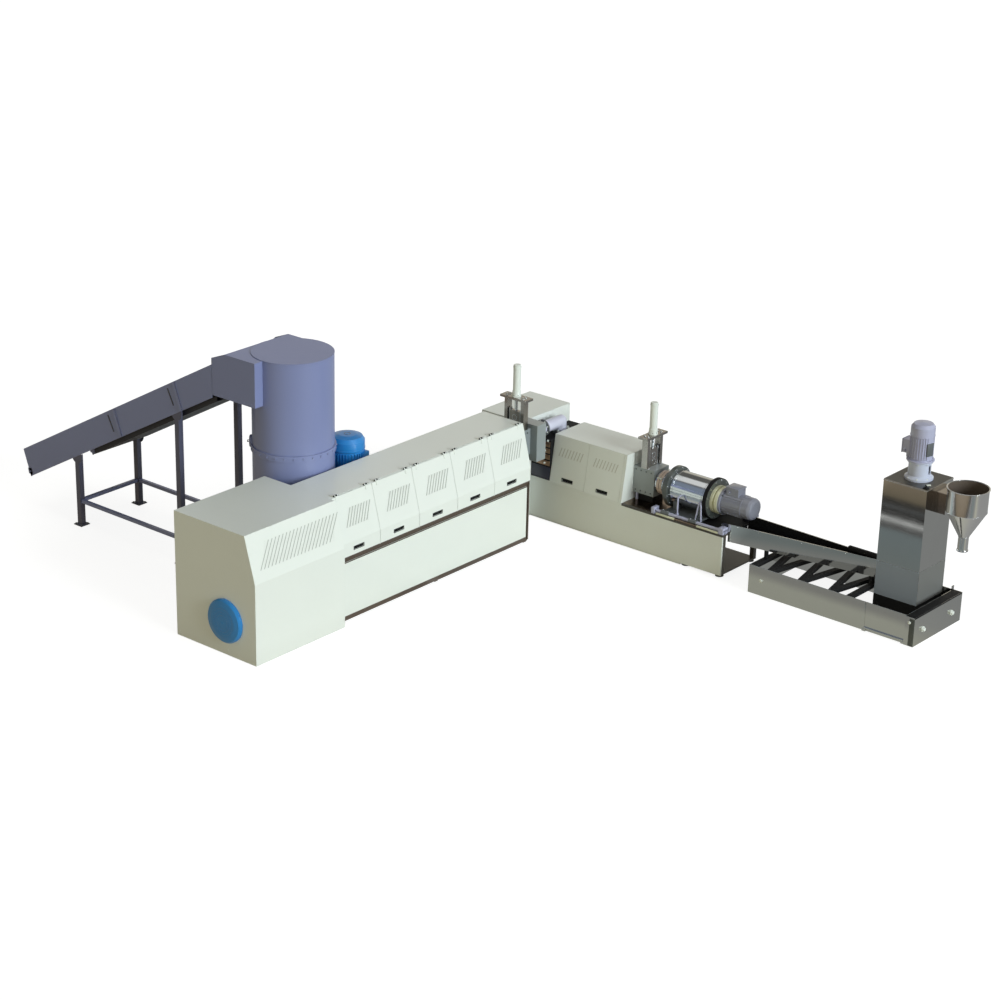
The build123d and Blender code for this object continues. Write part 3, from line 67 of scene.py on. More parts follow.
X, Y, Z = (Vector(way).freeze() for way in ((1, 0, 0), (0, 1, 0), (0, 0, 1)))
DUST_COLOUR: Colour = (0.30, 0.27, 0.23)


def circle(count: int, shift: float = 0.5) -> Iterator[tuple[float, float]]:
    """Cosine and sine of evenly spaced angles, the first one shifted by a share of a step."""
    for index in range(count):
        angle = math.tau * (index + shift) / count
        yield math.cos(angle), math.sin(angle)


def middle(node: str, high: float | None = None) -> Vector:
    """The middle of a node's box, or the point of its upright axis at a height."""
    low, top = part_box(node)
    point = (Vector(low) + Vector(top)) / 2
    if high is not None:
        point.z = high
    return point


class Graph:
    """A node tree, with short ways to add the nodes that finishes and studio use."""

    def __init__(self, tree: bpy.types.NodeTree) -> None:
        """Wrap a tree."""
        self.tree = tree

    @classmethod
    def group(cls, name: str, inputs: dict[str, float | tuple], outputs: dict[str, str]) -> tuple:
        """Start a shader node group; an input's kind follows from its default.

        Args:
            name: The group's name.
            inputs: Default of each input.
            outputs: Kind of each output.

        Returns:
            The graph, the sockets it is given and the sockets it puts out.
        """
        tree = bpy.data.node_groups.new(name, "ShaderNodeTree")
        for label, value in inputs.items():
            kind = "Float" if isinstance(value, float) else {3: "Vector", 4: "Color"}[len(value)]
            socket = tree.interface.new_socket(name=label, in_out="INPUT", socket_type=f"NodeSocket{kind}")
            socket.default_value = value
        for label, kind in outputs.items():
            tree.interface.new_socket(name=label, in_out="OUTPUT", socket_type=f"NodeSocket{kind}")
        return cls(tree), tree.nodes.new("NodeGroupInput").outputs, tree.nodes.new("NodeGroupOutput").inputs

    def fill(self, sockets: bpy.types.bpy_prop_collection, values: dict) -> None:
        """Link each named socket to another socket, or set its value."""
        for label, value in values.items():
            if isinstance(value, Socket):
                self.tree.links.new(value, sockets[label])
            else:
                sockets[label].default_value = value

    def node(self, kind: str, inputs: dict | None = None, **settings) -> bpy.types.Node:
        """Add a shader node.

        Args:
            kind: Its type, without the prefix.
            inputs: A socket or value for each input's name or number.
            settings: The node's own settings.

        Returns:
            The new node.
        """
        node = self.tree.nodes.new(f"ShaderNode{kind}")
        for label, value in settings.items():
            setattr(node, label, value)
        self.fill(node.inputs, inputs or {})
        return node

    def math(self, kind: str, a, b, clamp: bool = False) -> Socket:
        """A math node's result; a and b are sockets or numbers."""
        return self.node("Math", {0: a, 1: b}, operation=kind, use_clamp=clamp).outputs[0]

    def band(self, a, b, slope: float) -> Socket:
        """How far a is past b, times a slope, kept between 0 and 1."""
        return self.math("MULTIPLY", self.math("SUBTRACT", a, b), slope, True)

    def spread(self, value: Socket, middle, width, clamp: bool = False) -> Socket:
        """A value's distance from 0.5, times a width, round a middle."""
        off = self.math("MULTIPLY", self.math("SUBTRACT", value, 0.5), width)
        return self.math("ADD", off, middle, clamp)

    def mix(self, factor, a, b) -> Socket:
        """A colour mix's result; each value is a socket or constant."""
        a, b = ((*value, 1.0) if isinstance(value, tuple) else value for value in (a, b))
        return self.node("Mix", {0: factor, 6: a, 7: b}, data_type="RGBA").outputs[2]

    def noise(self, vector: Socket, scale: float, detail: float = 4.0, rough: float = 0.55) -> Socket:
        """A noise texture's value."""
        return self.node("TexNoise", {"Vector": vector, "Scale": scale, "Detail": detail,
                                      "Roughness": rough}).outputs["Fac"]

    def scaled(self, vector: Socket, scale) -> Socket:
        """A vector or colour times a number."""
        return self.node("VectorMath", {0: vector, "Scale": scale}, operation="SCALE").outputs[0]

    def shared(self, group: bpy.types.NodeTree, place: Socket, **values):
        """Put a shared group in the tree, set its inputs and return its outputs."""
        inputs = {label.replace("_", " "): value for label, value in values.items()}
        return self.node("Group", {"Vector": place, **inputs}, node_tree=group).outputs

    def bump(self, height: Socket, strength: float, distance: float, **normal: Socket) -> Socket:
        """A height's normal, over an optional rounded Normal."""
        return self.node("Bump", {"Strength": strength, "Distance": distance, "Height": height,
                                  **normal}).outputs["Normal"]


class SharedGroups:
    """The effects that several finishes use, each built once."""

    def __init__(self) -> None:
        """Build every group."""
        self.tone, self.wear = self._tone(), self._wear()
        self.peel, self.brushed = self._peel(), self._brushed()

    @staticmethod
    def _tone() -> bpy.types.NodeTree:
        """Colour that drifts slowly over a surface, with dust that gathers low down."""
        graph, given, out = Graph.group(
            "slow_tone", {"Vector": (0, 0, 0), "Colour": (1, 1, 1, 1), "Spread": 0.06, "Dust": 0.1,
                          "Dust Height": 0.25}, {"Colour": "Color"})
        both = graph.math("ADD", graph.math("MULTIPLY", graph.noise(given["Vector"], 1.7, 5.0), 0.7),
                          graph.math("MULTIPLY", graph.noise(given["Vector"], 14.0, 3.0), 0.3))
        colour = graph.scaled(given["Colour"], graph.spread(both, 1.0, given["Spread"]))
        height = graph.node("SeparateXYZ", {0: given["Vector"]}).outputs["Z"]
        near = graph.math("SUBTRACT", 1.0, graph.math("DIVIDE", height, given["Dust Height"], True), True)
        amount = graph.math("MULTIPLY", graph.math("MULTIPLY", near, both), given["Dust"], True)
        graph.fill(out, {"Colour": graph.mix(amount, colour, DUST_COLOUR)})
        return graph.tree

    @staticmethod
    def _wear() -> bpy.types.NodeTree:
        """A mask of the rubbed edges, and a normal that rounds them."""
        graph, given, out = Graph.group(
            "rubbed_edges", {"Vector": (0, 0, 0), "Radius": 0.004, "Amount": 0.5},
            {"Mask": "Float", "Normal": "Vector"})
        rounded = graph.node("Bevel", {"Radius": given["Radius"]}, samples=4).outputs["Normal"]
        flat = graph.node("NewGeometry").outputs["Normal"]
        dot = graph.node("VectorMath", {0: rounded, 1: flat}, operation="DOT_PRODUCT").outputs["Value"]
        edge = graph.math("SUBTRACT", 1.0, dot, True)
        broken = graph.noise(given["Vector"], 9.0, 6.0, 0.7)
        patchy = graph.math("MULTIPLY", graph.math("MULTIPLY", edge, broken), 6.0, True)
        graph.fill(out, {"Mask": graph.math("MULTIPLY", patchy, given["Amount"], True), "Normal": rounded})
        return graph.tree

    @staticmethod
    def _peel() -> bpy.types.NodeTree:
        """The faint orange peel of sprayed paint, as a height and a roughness."""
        graph, given, out = Graph.group(
            "sprayed_skin", {"Vector": (0, 0, 0), "Roughness": 0.4, "Spread": 0.1},
            {"Height": "Float", "Roughness": "Float"})
        peel, wave = graph.noise(given["Vector"], 260.0, 2.0), graph.noise(given["Vector"], 3.0, 3.0)
        graph.fill(out, {"Height": graph.math("ADD", graph.math("MULTIPLY", peel, 0.25), wave),
                         "Roughness": graph.spread(wave, given["Roughness"], given["Spread"], True)})
        return graph.tree

    @staticmethod
    def _brushed() -> bpy.types.NodeTree:
        """Grinding marks that run one way, as a height, a roughness and a tone."""
        graph, given, out = Graph.group(
            "grinding_marks", {"Vector": (0, 0, 0), "Stretch": (1, 1, 40), "Roughness": 0.3, "Spread": 0.2},
            {"Height": "Float", "Roughness": "Float", "Tone": "Float"})
        drawn = graph.node("VectorMath", {0: given["Vector"], 1: given["Stretch"]},
                           operation="MULTIPLY").outputs[0]
        marks, cloud = graph.noise(drawn, 6.0, 5.0, 0.65), graph.noise(given["Vector"], 2.4, 3.0)
        graph.fill(out, {"Height": marks,
                         "Roughness": graph.spread(marks, given["Roughness"], given["Spread"], True),
                         "Tone": graph.math("ADD", graph.math("MULTIPLY", marks, 0.4),
                                            graph.math("MULTIPLY", cloud, 0.6))})
        return graph.tree


@dataclass(frozen=True)
class Finish:
    """What every finish has: its name, its colour and, for an extra finish, the record's slot."""

    name: str
    colour: Colour
    slot: str = ""

    def inputs(self, graph: Graph, groups: SharedGroups, place: Socket) -> dict:
        """The shader's inputs, each a socket or a value."""
        raise NotImplementedError

    def build(self, groups: SharedGroups) -> bpy.types.Material:
        """Build the material from the shared groups, on the piece's own coordinates."""
        material = bpy.data.materials.new(self.name)
        material.use_nodes = True
        graph = Graph(material.node_tree)
        place = graph.node("TexCoord").outputs["Object"]
        graph.fill(graph.tree.nodes["Principled BSDF"].inputs, self.inputs(graph, groups, place))
        return material


@dataclass(frozen=True)
class Paint(Finish):
    """Sprayed machine paint over steel, rubbed a little at its edges."""

    roughness: float = 0.42
    coat: float = 0.25
    spread: float = 0.05
    dust: float = 0.12
    wear: float = 0.35
    worn: Colour = (0.34, 0.33, 0.32)
    peel: float = 0.05
    shine: float = 0.5

    def inputs(self, graph: Graph, groups: SharedGroups, place: Socket) -> dict:
        """Toned colour under a clear coat, with worn edges and orange peel."""
        tone = graph.shared(groups.tone, place, Colour=(*self.colour, 1.0), Spread=self.spread,
                            Dust=self.dust)
        edges = graph.shared(groups.wear, place, Amount=self.wear)
        skin = graph.shared(groups.peel, place, Roughness=self.roughness)
        return {"Base Color": graph.mix(edges["Mask"], tone["Colour"], self.worn),
                "Roughness": skin["Roughness"],
                "Normal": graph.bump(skin["Height"], self.peel, 0.002, Normal=edges["Normal"]),
                "Coat Weight": self.coat, "Coat Roughness": 0.12, "Specular IOR Level": self.shine}


@dataclass(frozen=True)
class Steel(Finish):
    """Bare steel with grinding marks along one way."""

    roughness: float = 0.3
    stretch: Point = (1.0, 1.0, 30.0)
    stain: Colour = (0.16, 0.13, 0.11)
    stain_share: float = 0.25
    marks: float = 0.08

    def inputs(self, graph: Graph, groups: SharedGroups, place: Socket) -> dict:
        """Metal with stains, grinding marks and rounded edges."""
        grain = graph.shared(groups.brushed, place, Stretch=self.stretch, Roughness=self.roughness)
        amount = graph.math("MULTIPLY", grain["Tone"], self.stain_share, True)
        tone = graph.shared(groups.tone, place, Colour=(*self.colour, 1.0), Spread=0.12, Dust=0.1)
        edges = graph.shared(groups.wear, place, Radius=0.003)
        return {"Base Color": graph.mix(amount, tone["Colour"], self.stain), "Roughness": grain["Roughness"],
                "Normal": graph.bump(grain["Height"], self.marks, 0.001, Normal=edges["Normal"]),
                "Metallic": 1.0}


@dataclass(frozen=True)
class Rubber(Finish):
    """Matt rubber with a fine cloth imprint."""

    roughness: float = 0.7

    def inputs(self, graph: Graph, groups: SharedGroups, place: Socket) -> dict:
        """Dusty colour and a coarse skin."""
        tone = graph.shared(groups.tone, place, Colour=(*self.colour, 1.0), Spread=0.25, Dust=0.3,
                            Dust_Height=3.0)
        skin = graph.shared(groups.peel, place, Roughness=self.roughness, Spread=0.2)
        return {"Base Color": tone["Colour"], "Roughness": skin["Roughness"],
                "Normal": graph.bump(skin["Height"], 0.3, 0.002)}


class Look(Enum):
    """Every finish of the line. The first thirteen are the record's own slots."""

    IVORY = Paint("ivory_paint", (0.80, 0.83, 0.79), roughness=0.40)
    BLUE_GREY = Paint("blue_grey_paint", (0.205, 0.235, 0.43), roughness=0.40, coat=0.2)
    MOTOR_BLUE = Paint("motor_blue", (0.015, 0.22, 0.58), roughness=0.36, coat=0.4)
    BROWN = Paint("brown_frame", (0.080, 0.056, 0.042), roughness=0.5, coat=0.1)
    DARK_STEEL = Paint("dark_steel", (0.11, 0.12, 0.13), roughness=0.38, coat=0.3, worn=(0.30, 0.30, 0.31))
    BLACK = Paint("black_paint", (0.011, 0.011, 0.012), roughness=0.6, coat=0.0, wear=0.1, shine=0.15)
    STAINLESS = Steel("stainless", (0.62, 0.62, 0.60), roughness=0.07, stain_share=0.10, marks=0.02)
    POLISHED = Steel("polished_steel", (0.60, 0.62, 0.64), roughness=0.12, stretch=(30.0, 1.0, 1.0),
                     stain_share=0.1)
    WHITE = Paint("white_paint", (0.80, 0.84, 0.80), roughness=0.3, coat=0.4)
    LAVENDER = Paint("lavender_paint", (0.46, 0.47, 0.64), roughness=0.35, coat=0.3)
    CREAM = Paint("cream_paint", (0.78, 0.78, 0.58), roughness=0.35, coat=0.3)
    BELT = Rubber("belt_rubber", (0.030, 0.055, 0.045))
    BARREL = Steel("barrel_steel", (0.36, 0.34, 0.32), roughness=0.42, stain_share=0.4)
    BLOCK_STEEL = Paint("block_steel", (0.27, 0.30, 0.31), "dark_steel", roughness=0.3, coat=0.5)
    YOKE_STEEL = Steel("yoke_steel", (0.40, 0.38, 0.36), "dark_steel", roughness=0.2, stain_share=0.2)
    PIPE_WHITE = Paint("pipe_white", (0.66, 0.66, 0.80), "lavender_paint", roughness=0.3, coat=0.4)
    LANTERN_WHITE = Paint("lantern_white", (0.60, 0.64, 0.80), "white_paint", roughness=0.3, coat=0.4)
    VENT_SHADE = Paint("vent_shade", (0.42, 0.43, 0.40), "barrel_steel", roughness=0.5, coat=0.0)
    BAND_CREAM = Paint("band_cream", (0.62, 0.50, 0.44), "cream_paint", roughness=0.3, coat=0.4)
    BAND_COPPER = Steel("band_copper", (0.34, 0.22, 0.15), "barrel_steel", roughness=0.3, stain_share=0.3)
    NAVY = Paint("shade_navy", (0.02, 0.022, 0.045), "black_paint", roughness=0.4, coat=0.2)
    CYCLONE_STEEL = Steel("cyclone_steel", (0.90, 0.88, 0.86), "stainless", roughness=0.12, stain_share=0.1)
    MOTOR_LILAC = Paint("motor_lilac", (0.29, 0.30, 0.38), "lavender_paint", roughness=0.3, coat=0.4)
    # A dull brown for the stainless cyclone's inner wall: painted shade.
    CYCLONE_INNER_SHADE = Paint("inner_shade_brown", (0.12, 0.095, 0.078), "stainless", roughness=0.5, coat=0.0, shine=0.2)
    DISC = Paint("disc_shade", (0.075, 0.085, 0.080), "polished_steel", roughness=0.3, coat=0.4)
    # Copies for the tower's stainless lower sheets, with painted reflections: grey-blue on the front, dark on
    # the +X side.
    FRONT_REFLECTION = Paint("front_reflection_grey", (0.32, 0.37, 0.46), "stainless", roughness=0.4, coat=0.0, wear=0.1,
                      shine=0.2)
    SIDE_REFLECTION = Paint("side_reflection_dark", (0.165, 0.165, 0.16), "stainless", roughness=0.4, coat=0.0, wear=0.1,
                        shine=0.2)
    # A darker copy of the blue-grey paint: painted shade on the conveyor's legs and on its ribs' sides.
    SHADED_BLUE_GREY = Paint("shaded_blue_grey", (0.085, 0.088, 0.145), "blue_grey_paint", roughness=0.45, coat=0.1)
    PAN = Paint("pan_shade", (0.018, 0.018, 0.024), "dark_steel", roughness=0.6, coat=0.0, wear=0.05)
    FRAME = Paint("frame_shade", (0.055, 0.048, 0.040), "dark_steel", roughness=0.45, coat=0.1)
    # A paler grey copy of the ivory: painted shade at the bottoms of the second cover's vent slots.
    PALE_VENT_SHADE = Paint("pale_vent_shade", (0.60, 0.60, 0.54), "ivory_paint", roughness=0.5, coat=0.0)
    DUCT = Steel("duct_steel", (0.34, 0.30, 0.27), "stainless", roughness=0.14, stain_share=0.2)
    ROOF = Paint("roof_shade", (0.035, 0.032, 0.028), "brown_frame", roughness=0.35, coat=0.1)
    BED = Steel("bed_brown", (0.24, 0.17, 0.12), "brown_frame", roughness=0.22, stain_share=0.3)


NODE_LOOKS: dict[str, Look] = {
    "screen_blocks": Look.BLOCK_STEEL, "elbow_box": Look.BLOCK_STEEL, "screen_yokes": Look.YOKE_STEEL,
    "melt_line": Look.PIPE_WHITE, "motor_lantern": Look.LANTERN_WHITE, "cyclone": Look.CYCLONE_STEEL,
    "conveyor_legs": Look.SHADED_BLUE_GREY, "conveyor_pan": Look.PAN, "bed_frame": Look.FRAME,
    "outlet_duct": Look.DUCT, "cutter_motor": Look.MOTOR_LILAC,
}

FLOOR_LENGTH = 10.0
FLOOR_BANDS: tuple[tuple[float, Colour], ...] = (
    (0.0, (0.28, 0.25, 0.20)), (1.3, (0.24, 0.20, 0.15)), (1.80, (0.20, 0.17, 0.12)),
    (1.90, (0.04, 0.04, 0.04)), (2.09, (0.05, 0.05, 0.05)), (2.13, (0.22, 0.24, 0.25)),
    (2.17, (0.04, 0.04, 0.04)), (2.43, (0.05, 0.05, 0.05)), (2.50, (0.66, 0.68, 0.68)),
    (2.58, (0.60, 0.62, 0.62)), (2.64, (0.10, 0.10, 0.10)), (2.80, (0.12, 0.12, 0.12)),
    (2.88, (0.20, 0.24, 0.25)), (3.80, (0.20, 0.23, 0.23)), (4.05, (0.27, 0.28, 0.27)),
    (4.36, (0.29, 0.29, 0.27)), (4.55, (0.42, 0.43, 0.37)), (5.0, (0.42, 0.43, 0.37)),
    (5.6, (0.33, 0.34, 0.33)), (6.5, (0.29, 0.30, 0.30)),
)


class Palette:
    """Every finish, built once."""

    def __init__(self) -> None:
        """Build the shared groups and each finish."""
        groups = SharedGroups()
        self.materials = {look: look.value.build(groups) for look in Look}
        self.by_name = {look.value.name: look for look in Look}

    def dress(self, obj: bpy.types.Object, look: Look) -> None:
        """Give an object one finish all over."""
        obj.data.materials.clear()
        obj.data.materials.append(self.materials[look])


class Forge:
    """Collects shapes in one mesh and turns it into a finished piece."""

    def __init__(self, name: str) -> None:
        """Start an empty mesh for the piece of this name."""
        self.name = name
        self.mesh = bmesh.new()

    def _place(self, verts: list, move: Matrix) -> None:
        """Move new vertices to their place."""
        bmesh.ops.transform(self.mesh, matrix=move, verts=verts)

    def _bevel(self, edges: set, width: float) -> None:
        """Round some edges, if the width isn't 0."""
        if width:
            bmesh.ops.bevel(self.mesh, geom=list(edges), offset=width, offset_type="OFFSET", segments=2,
                            profile=0.5, affect="EDGES", material=-1, clamp_overlap=True)

    def _add(self, part: bmesh.types.BMesh) -> None:
        """Clean a shape made on its own, turn its faces outwards and add it."""
        bmesh.ops.remove_doubles(part, verts=part.verts, dist=1e-6)
        bmesh.ops.recalc_face_normals(part, faces=part.faces)
        data = bpy.data.meshes.new("part")
        part.to_mesh(data)
        part.free()
        self.mesh.from_mesh(data)
        bpy.data.meshes.remove(data)

    def box(self, low: Point, high: Point, bevel: float = 0.0, turn: Matrix | None = None) -> None:
        """Add a box between two corners.

        Args:
            low: The lowest corner.
            high: The highest corner.
            bevel: Width of the bevel on its edges, or 0.
            turn: A matrix applied after the box is in place, or None.
        """
        low, high = Vector(low), Vector(high)
        made = bmesh.ops.create_cube(self.mesh, size=1.0)["verts"]
        self._place(made, Matrix.Translation((low + high) / 2) @ Matrix.Diagonal((*(high - low), 1.0)))
        if turn is not None:
            self._place(made, turn)
        self._bevel({edge for vert in made for edge in vert.link_edges}, bevel)

    def around(self, centre: Point, axis: str, degrees: Iterable[float], low: Point, high: Point,
               bevel: float = 0.0) -> None:
        """Add the same box at several angles about an axis.

        Args:
            centre: A point on the axis.
            axis: The axis's letter.
            degrees: The angles.
            low: The box's lowest corner, from the centre and before it is turned.
            high: Its highest corner.
            bevel: Width of the bevel on its edges, or 0.
        """
        for angle in degrees:
            turn = Matrix.Rotation(math.radians(angle), 4, axis)
            self.box(low, high, bevel, Matrix.Translation(centre) @ turn)

    def rod(self, start: Point, end: Point, radius: float, sides: int = 24, end_radius: float | None = None,
            bevel: float = 0.0) -> None:
        """Add a closed round bar or cone from start to end.

        Args:
            start: Centre of the first end.
            end: Centre of the second end.
            radius: Radius at the start.
            sides: Number of sides.
            end_radius: Radius at the end, or None for the same.
            bevel: Width of the bevel at its ends, or 0.
        """
        start, end = Vector(start), Vector(end)
        along = end - start
        made = bmesh.ops.create_cone(
            self.mesh, cap_ends=True, segments=sides, radius1=radius,
            radius2=radius if end_radius is None else end_radius, depth=along.length)["verts"]
        self._place(made, Matrix.Translation((start + end) / 2)
                    @ along.to_track_quat("Z", "Y").to_matrix().to_4x4())
        self._bevel({edge for vert in made for edge in vert.link_edges
                     if any(len(face.verts) > 4 for face in edge.link_faces)}, bevel)

    def lathe(self, centre: Point, axis: Vector, profile: list[tuple[float, float]], sides: int = 32) -> None:
        """Turn a closed profile about an axis.

        Args:
            centre: Where the profile's height is 0 on the axis.
            axis: The way it is turned about.
            profile: Radius and height of each corner, in order.
            sides: Number of sides.
        """
        part = bmesh.new()
        verts = [part.verts.new((radius, 0.0, height)) for radius, height in profile]
        edges = [part.edges.new((vert, verts[index - 1])) for index, vert in enumerate(verts)]
        bmesh.ops.spin(part, geom=verts + edges, cent=(0, 0, 0), axis=(0, 0, 1), dvec=(0, 0, 0),
                       angle=math.tau, steps=sides, use_merge=True, use_duplicate=False)
        turn = Vector(axis).to_track_quat("Z", "Y").to_matrix().to_4x4()
        bmesh.ops.transform(part, matrix=Matrix.Translation(centre) @ turn, verts=part.verts)
        self._add(part)

    def ring(self, centre: Point, axis: Vector, inner: float, outer: float, width: float, sides: int) -> None:
        """Add a square-edged ring that stands on its centre along the axis."""
        self.lathe(centre, axis, [(inner, 0), (outer, 0), (outer, width), (inner, width)], sides)

    def slab(self, corners: Iterable[Point], thick: Point) -> None:
        """Add a flat outline, given the way and length of its thickness."""
        part = bmesh.new()
        face = part.faces.new([part.verts.new(corner) for corner in corners])
        made = bmesh.ops.extrude_face_region(part, geom=[face])["geom"]
        bmesh.ops.translate(part, verts=[v for v in made if isinstance(v, bmesh.types.BMVert)], vec=thick)
        self._add(part)

    def dome(self, place: Point, way: Vector, radius: float = 0.009, height: float = 0.004) -> None:
        """Add a low round head standing on a face."""
        part = bmesh.new()
        bmesh.ops.create_uvsphere(part, u_segments=14, v_segments=8, radius=1.0)
        cut = bmesh.ops.bisect_plane(part, geom=part.verts[:] + part.edges[:] + part.faces[:],
                                     plane_co=(0, 0, 0), plane_no=(0, 0, 1), clear_inner=True)
        rim = [edge for edge in cut["geom_cut"] if isinstance(edge, bmesh.types.BMEdge)]
        bmesh.ops.edgeloop_fill(part, edges=rim)
        turn = Vector(way).to_track_quat("Z", "Y").to_matrix().to_4x4()
        move = Matrix.Translation(place) @ turn @ Matrix.Diagonal((radius, radius, height, 1.0))
        bmesh.ops.transform(part, matrix=move, verts=part.verts)
        self._add(part)

    def pipe(self, points: list[Vector], radius: float) -> None:
        """Add a round bar through some points, with balls at its bends."""
        for start, end in zip(points, points[1:]):
            self.rod(start, end, radius, 16)
        for point in points[1:-1]:
            made = bmesh.ops.create_uvsphere(self.mesh, u_segments=16, v_segments=10, radius=radius)["verts"]
            bmesh.ops.translate(self.mesh, verts=made, vec=point)

    def bolt(self, place: Point, way: Vector, across: float = 0.022, height: float = 0.012) -> None:
        """Add a hexagon head on a washer, standing on a face."""
        place, way = Vector(place), Vector(way).normalized()
        washer = height * 0.2
        self.rod(place, place + way * washer, across * 0.72, 16)
        self.rod(place + way * washer, place + way * height, across * 0.55, 6, end_radius=across * 0.5)

    def pull_cup(self, middle: Point, out: Vector, along: Vector) -> None:
        """Line a flush pull: a rim on the face, a floor in the pocket and a sleeve on the grip bar.

        Args:
            middle: The pocket's middle on the face.
            out: The way out of the face.
            along: The way along the pull.
        """
        half_l, half_h, rim, depth, bar = 0.0875, 0.02, 0.005, 0.012, 0.012
        up = out.cross(along)
        if up.z < 0:
            up = -up
        turn = Matrix((along, out, up)).transposed().to_4x4()
        turn.translation = middle
        l, h = half_l + rim, half_h + rim
        for (x0, z0), (x1, z1) in (((-l, half_h), (l, h)), ((-l, -h), (l, -half_h)),
                                   ((-l, -half_h), (-half_l, half_h)), ((half_l, -half_h), (l, half_h))):
            self.box((x0, -0.0005, z0), (x1, 0.003, z1), 0.001, turn)
        self.box((-half_l, -depth + 0.0004, -half_h), (half_l, -depth + 0.002, half_h - bar), 0.0, turn)
        self.box((-half_l, -0.0006, half_h - bar), (half_l, 0.0016, half_h), 0.0006, turn)

    def done(self, body: str, look: Look, palette: Palette, smooth: bool) -> None:
        """Turn the mesh into a piece that rides on a body.

        Args:
            body: The body it rides on.
            look: Its finish.
            palette: The built finishes.
            smooth: Whether round faces are shaded smooth.
        """
        data = bpy.data.meshes.new(self.name)
        self.mesh.to_mesh(data)
        self.mesh.free()
        if smooth:
            data.shade_smooth()
            data.set_sharp_from_angle(angle=math.radians(32))
        obj = bpy.data.objects.new(self.name, data)
        bpy.context.scene.collection.objects.link(obj)
        palette.dress(obj, look)
        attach(obj, body)
        LOG.info("%s: %d faces on %s", self.name, len(data.polygons), body)


@dataclass
class Assembly:
    """What every sub-assembly has: the built finishes, and a way to make one piece."""

    palette: Palette

    @contextmanager
    def piece(self, name: str, look: Look, body: str = ROOT, smooth: bool = True) -> Iterator[Forge]:
        """Open a forge for one piece, and finish the piece when the block ends."""
        forge = Forge(name)
        yield forge
        forge.done(body, look, self.palette, smooth)

    def sheet(self, name: str, look: Look, low: Point, high: Point, bevel: float = 0.0) -> None:
        """Make a piece that is one fixed box."""
        with self.piece(name, look) as forge:
            forge.box(low, high, bevel)

    def build(self) -> None:
        """Build every small part."""
        raise NotImplementedError


@dataclass(frozen=True)
class VentRow:
    """A row of louvres, with its slots' place measured up the slope of their sheet.

    Args:
        start: Y of the first slot's foot, from the sheet's own start.
        pitch: Distance between two slots.
        count: Number of slots.
        bottom: Height of the slots' feet.
        length: Length of the slots.
        lean: How far an opening's head is along Y from its foot, as a share of its length.
    """

    start: float
    pitch: float
    count: int
    bottom: float
    length: float
    lean: float


